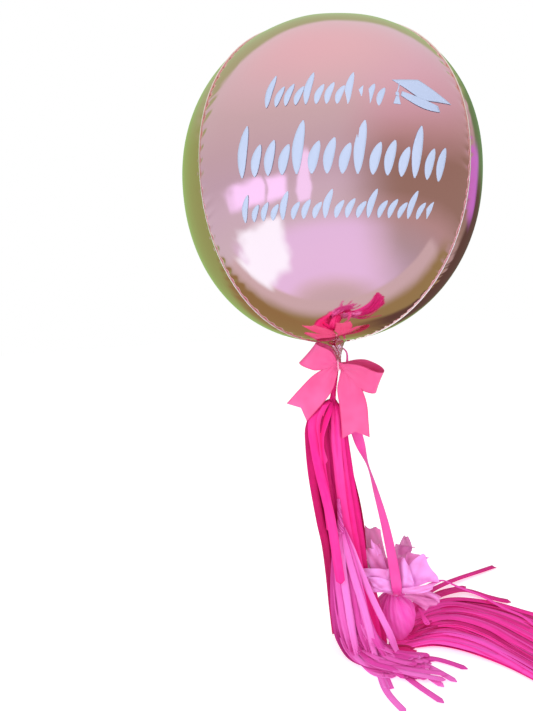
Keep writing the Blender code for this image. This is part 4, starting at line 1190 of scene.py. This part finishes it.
frill = {
    "thick": 0.00022,
    "length": 0.16,         # of the strip of tissue before it was gathered
    # six corners by pixel and depth, across at the gather, half way and at the rim; painted light; how far it
    # creases
    "petals": [
        ([(389, 585, 0.010), (395, 583, 0.012), (369, 556, 0.010), (385, 552, 0.014), (365, 525, 0.012),
          (380, 527, 0.016)], 0.34, 0.003),
        ([(387, 588, 0.004), (392, 586, 0.006), (372, 570, 0.000), (385, 562, 0.002), (364, 549, -0.002),
          (380, 544, 0.002)], 0.60, 0.004),
        ([(388, 584, 0.006), (391, 586, 0.006), (374, 556, 0.000), (383, 558, 0.002), (371, 538, -0.002),
          (382, 551, 0.000)], 0.85, 0.002),
        ([(384, 590, 0.014), (390, 590, 0.014), (369, 572, 0.012), (380, 566, 0.012), (366, 560, 0.010),
          (375, 556, 0.010)], 0.03, 0.002),
        ([(393, 593, -0.006), (390, 571, -0.006), (378, 592, -0.011), (376, 568, -0.011),
          (370, 591, -0.014), (359.5, 569, -0.014)], 0.80, 0.004),
        ([(392, 591, -0.009), (390, 581, -0.009), (381, 590, -0.014), (378, 577, -0.014),
          (373, 587, -0.017), (367, 577, -0.017)], 0.96, 0.003),
        ([(396, 584, 0.022), (406, 584, 0.022), (394, 556, 0.034), (411, 552, 0.034), (396, 543, 0.044),
          (415.6, 549, 0.044)], 0.16, 0.003),
        ([(398, 556, 0.038), (410, 553, 0.038), (399, 546, 0.044), (412, 547, 0.044), (404, 535, 0.048),
          (408, 536, 0.048)], 0.10, 0.002),
        ([(402, 584, 0.016), (408, 586, 0.016), (405, 560, 0.024), (419, 566, 0.020), (408, 552, 0.030),
          (430.6, 557, 0.022)], 0.60, 0.004),
        ([(402, 588, 0.006), (408, 592, 0.008), (409, 566, 0.010), (423, 584, 0.006), (424, 553, 0.016),
          (441, 582, 0.004)], 1.0, 0.005),
        ([(397, 584, -0.002), (401, 592, -0.004), (399, 566, 0.000), (412, 589, -0.006), (405, 556, 0.004),
          (418, 591, -0.008)], 0.90, 0.005),
        ([(400, 588, -0.008), (402, 593, -0.008), (412, 587, -0.012), (414, 594, -0.012),
          (441, 582, -0.004), (430, 591, -0.010)], 0.76, 0.002),
        ([(404, 592, -0.004), (408, 590, 0.000), (418, 597, 0.000), (424, 589, 0.004), (437, 606, 0.002),
          (442.8, 598, 0.008)], 0.45, 0.004),
        ([(403, 596, -0.006), (407, 593, -0.004), (413, 602, -0.004), (424, 597, -0.002),
          (426, 610.6, -0.004), (441, 602, 0.002)], 0.34, 0.003),
        ([(392, 590, 0.006), (402, 590, 0.004), (384, 573, 0.010), (401, 572, 0.012), (382, 558, 0.012),
          (403, 556, 0.014)], 0.42, 0.005),
        ([(388, 594, 0.000), (398, 596, -0.002), (379, 584, -0.004), (393, 580, -0.003),
          (377, 570, -0.006), (394, 566, -0.004)], 0.64, 0.005),
    ],
}


def makeFrill(spec):
    # each petal is a curved patch between six corners, lifted by ripples that grow to its rim
    parts = []
    eye = np.array(lookout["eye"])
    count = 22
    for number, (corners, tint, crease) in enumerate(spec["petals"]):
        a, b, m, n, d, c = (atDepth(*corner) for corner in corners)
        s, t = (grid[..., None] for grid in squareGrid(count))
        # the petal runs from the gather (a, b) over (m, n) to its rim (d, c): a parabola through three lines,
        # whose rim is cut a little unevenly
        s = s * (1 - 0.05 * np.abs(np.sin(4.4 * t + 1.7 * number)))
        inner, middle, rim = ((1 - t) * p + t * q for p, q in ((a, b), (m, n), (d, c)))
        flat = inner * (1 - s) * (1 - 2 * s) + middle * 4 * s * (1 - s) + rim * s * (2 * s - 1)
        normal = unit(np.cross(c - a, d - b))
        if normal @ (eye - a) < 0:
            normal = -normal
        ripple = (0.7 * np.sin(5.3 * t + 2.1 * s + number) * np.sin(3.1 * s + 0.7 * number)
                  + 0.9 * np.abs(np.sin(5 * t + 3.5 * s + 2 * number))
                  + 0.6 * np.abs(np.sin(4 * t - 5 * s + number)) - 0.9)
        lift = crease * s * ripple + crease * 0.8 * np.sin(np.pi * s) * np.sin(np.pi * t)
        outer = flat + normal * lift
        front, back = outer + normal * spec["thick"] / 2, outer - normal * spec["thick"] / 2
        uv = np.concatenate([t, s * 0.05], -1)
        # painted light and shade: each petal's value, lighter on the crests of its ripples and darker in
        # their hollows, more so towards the rim
        shade = np.clip(tint + 0.34 * ripple * s, 0.02, 1)
        # front and back go round as one ring
        ring, uv, shade = (np.concatenate([one, other[:, ::-1]], 1)
                           for one, other in ((front, back), (uv, uv), (shade, shade)))
        parts.append((ring.reshape(-1, 3), closedBand(count, count), uv.reshape(-1, 2), shade))
    points, faces, uv, tint = joinBands(parts)
    piece = addPiece("weightFrill", points, faces, frillTissue, uv, tint)
    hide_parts("weight_frill")
    area = sheetArea(parts)
    print("frill area", round(area, 4))


makeWeight(weight)
makeFrill(frill)
print("weight and frill made")


# stage, surroundings and lights

stage = {
    "half": 9.0,
    "level": -0.0004,
    # name, place, aim, size, power and colour
    "lamps": [
        ("keyLamp", (-1.1, -1.6, 1.9), (0, 0, 0.35), 1.0, 21, (1.0, 0.98, 0.97)),
        ("fillLamp", (1.6, -1.2, 1.0), (0, 0, 0.25), 1.2, 9, (0.98, 0.98, 1.0)),
    ],
}


def makeStage(spec):
    # one level square that glows a little, so that its far edge melts into the background
    material, shop, shader = newFinish("paleFloor", {"Roughness": 0.9, "Specular IOR Level": 0.1,
                                                     "Emission Color": (1.0, 1.0, 1.0, 1.0),
                                                     "Emission Strength": 0.45})
    cloud = shop.noise(shop.here(), 3.0)
    feed(shader, {"Base Color": shop.blend(cloud, (0.88, 0.88, 0.88), (0.90, 0.90, 0.90))})
    s, z = spec["half"], spec["level"]
    mesh = bpy.data.meshes.new("floor")
    mesh.from_pydata([(-s, -s, z), (s, -s, z), (s, s, z), (-s, s, z)], [], [(0, 1, 2, 3)])
    mesh.materials.append(material)
    floor = bpy.data.objects.new("floor", mesh)
    bpy.context.scene.collection.objects.link(floor)
    floor.visible_glossy = False
    floor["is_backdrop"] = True


def makeSurroundings():
    # the foil mirrors these plain tones: pale above, panes of light on the left, lavender low in front, dark
    # to the right and olive behind; each patch is a product of smooth steps along the axes
    world = bpy.data.worlds.new("surroundings")
    bpy.context.scene.world = world
    world.use_nodes = True
    tree = world.node_tree
    tree.nodes.clear()
    shop = Shop(tree)

    def within(*edges):
        # product of smooth steps: each is an axis, where it starts and where it is full
        mask = shop.between(*edges[0])
        for edge in edges[1:]:
            mask = mask * shop.between(*edge)
        return mask

    way = shop.node("ShaderNodeTexCoord", {}, {}, 0)
    x, y, z = (shop.axis(way, k) for k in range(3))
    height = z * 0.5 + 0.5
    left = shop.node("ShaderNodeValToRGB", {"stops": [
        (0.0, (0.70, 0.80, 0.84)), (0.06, (0.86, 0.94, 1.0)), (0.12, (0.90, 1.0, 1.0)),
        (0.30, (0.74, 0.92, 1.0)),
        (0.46, (0.72, 0.86, 1.0)), (0.56, (0.64, 0.74, 0.86)), (0.66, (0.66, 0.76, 0.82)),
        (0.80, (0.72, 0.84, 0.86)),
        (0.90, (0.82, 0.92, 0.96)), (1.0, (0.95, 0.95, 1.0))]}, {0: height})
    right = shop.node("ShaderNodeValToRGB", {"stops": [
        (0.0, (0.68, 0.72, 0.80)), (0.08, (0.62, 0.72, 0.92)), (0.20, (0.52, 0.58, 0.62)),
        (0.32, (0.54, 0.52, 0.50)),
        (0.42, (0.36, 0.33, 0.26)), (0.56, (0.36, 0.32, 0.25)), (0.66, (0.58, 0.52, 0.52)),
        (0.74, (0.72, 0.66, 0.74)),
        (0.88, (0.86, 0.84, 0.96)), (1.0, (0.95, 0.95, 1.0))]}, {0: height})
    room = shop.blend(shop.between(x, 0.05, 0.80), left, right)
    lavender = within((z, -0.30, -0.55), (z, -0.985, -0.87), (y, 0.02, -0.10), (x, 0.75, 0.25))
    room = shop.blend(lavender * 0.85, room, (0.98, 1.08, 1.62))
    room = shop.blend(within((y, -0.06, 0.0), (z, -0.42, -0.5)) * 0.9, room, (0.72, 0.82, 0.82))
    room = shop.blend(within((y, 0.12, 0.42), (z, -0.3, -0.45)), room, (0.36, 0.37, 0.15))
    # panes of light, slightly bent: a low band with a post in it, a slim tall one and a slanted one below
    bent = shop.noise(way, 5.0, 1.0) - 0.5
    x, z = x + 0.10 * bent, z + 0.10 * bent
    band = within((x, -0.97, -0.90), (x, -0.42, -0.50), (y, 0.0, -0.15), (z, -0.16, -0.08), (z, 0.12, 0.04))
    slim = within((x, -0.37, -0.34), (x, -0.19, -0.22), (z, -0.24, -0.18), (z, 0.30, 0.22), (y, -0.6, -0.8))
    slant = x + z * 0.28
    patch = within((slant, -1.04, -0.98), (slant, -0.60, -0.72), (z, -0.84, -0.74), (z, -0.26, -0.36),
                   (y, 0.08, -0.02))
    post = within((x, -0.70, -0.69), (x, -0.66, -0.67))
    room = shop.blend(band * (1 - 0.8 * post) * 0.85, room, (1.35, 1.50, 2.3))
    room = shop.blend(slim * 0.8, room, (1.25, 1.45, 2.1))
    room = shop.blend(patch * 0.95, room, (1.25, 2.0, 2.15))
    magenta = within((x, 0.60, 0.70), (y, 0.42, 0.54), (z, -0.10, 0.02), (z, 0.30, 0.20))
    # behind: olive to the left, nearly black to the right
    behind = shop.blend(shop.between(z, 0.35, 0.65), (0.36, 0.60, 0.20), (0.47, 0.66, 0.36))
    behind = shop.blend(shop.between(z, -0.25, -0.5), behind, (0.34, 0.31, 0.12))
    dark = shop.blend(shop.between(z, 0.06, 0.20), (0.13, 0.09, 0.07), (0.16, 0.30, 0.13))
    behind = shop.blend(within((x, 0.05, 0.35), (z, 0.55, 0.35)), behind, dark)
    room = shop.blend(shop.between(y - x * 0.25, 0.45, 0.55), room, behind)
    room = shop.blend(magenta * 0.9, room, (0.70, 0.28, 1.0))
    camera = shop.node("ShaderNodeLightPath", {}, {}, 0)
    glossy = shop.node("ShaderNodeLightPath", {}, {}, 3)
    plain = shop.blend(camera, (0.70, 0.70, 0.72), (1.0, 1.0, 1.0))
    light = shop.node("ShaderNodeBackground", {}, {0: shop.blend(glossy, plain, room), 1: 1.0})
    out = tree.nodes.new("ShaderNodeOutputWorld")
    tree.links.new(light.socket, out.inputs[0])


def addLamp(name, place, aim, size, power, colour):
    # a round soft lamp that looks from its place to its aim and isn't mirrored itself
    data = bpy.data.lights.new(name, "AREA")
    data.shape, data.size, data.energy, data.color = "DISK", size, power, colour
    lamp = bpy.data.objects.new(name, data)
    bpy.context.scene.collection.objects.link(lamp)
    back = unit(np.array(place, float) - np.array(aim, float))
    side = unit(np.cross([0.0, 0.0, 1.0], back))
    turn = np.eye(4)
    turn[:3, 0], turn[:3, 1], turn[:3, 2], turn[:3, 3] = side, np.cross(back, side), back, place
    lamp.matrix_world = Matrix(turn.tolist())
    lamp.visible_glossy = False


makeStage(stage)
makeSurroundings()
for lamp in stage["lamps"]:
    addLamp(*lamp)
bpy.context.scene.view_settings.view_transform = "Standard"
print("stage and lights set")


def writeSizes():
    # the box of the solids as loaded, and of the dressed model, set out as text that is not written anywhere
    boxes = ([[float(v) for v in corner] for corner in box] for box in (loadedBox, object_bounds()))
    '{"cad": %s, "visual": %s}' % tuple(boxes)


writeSizes()
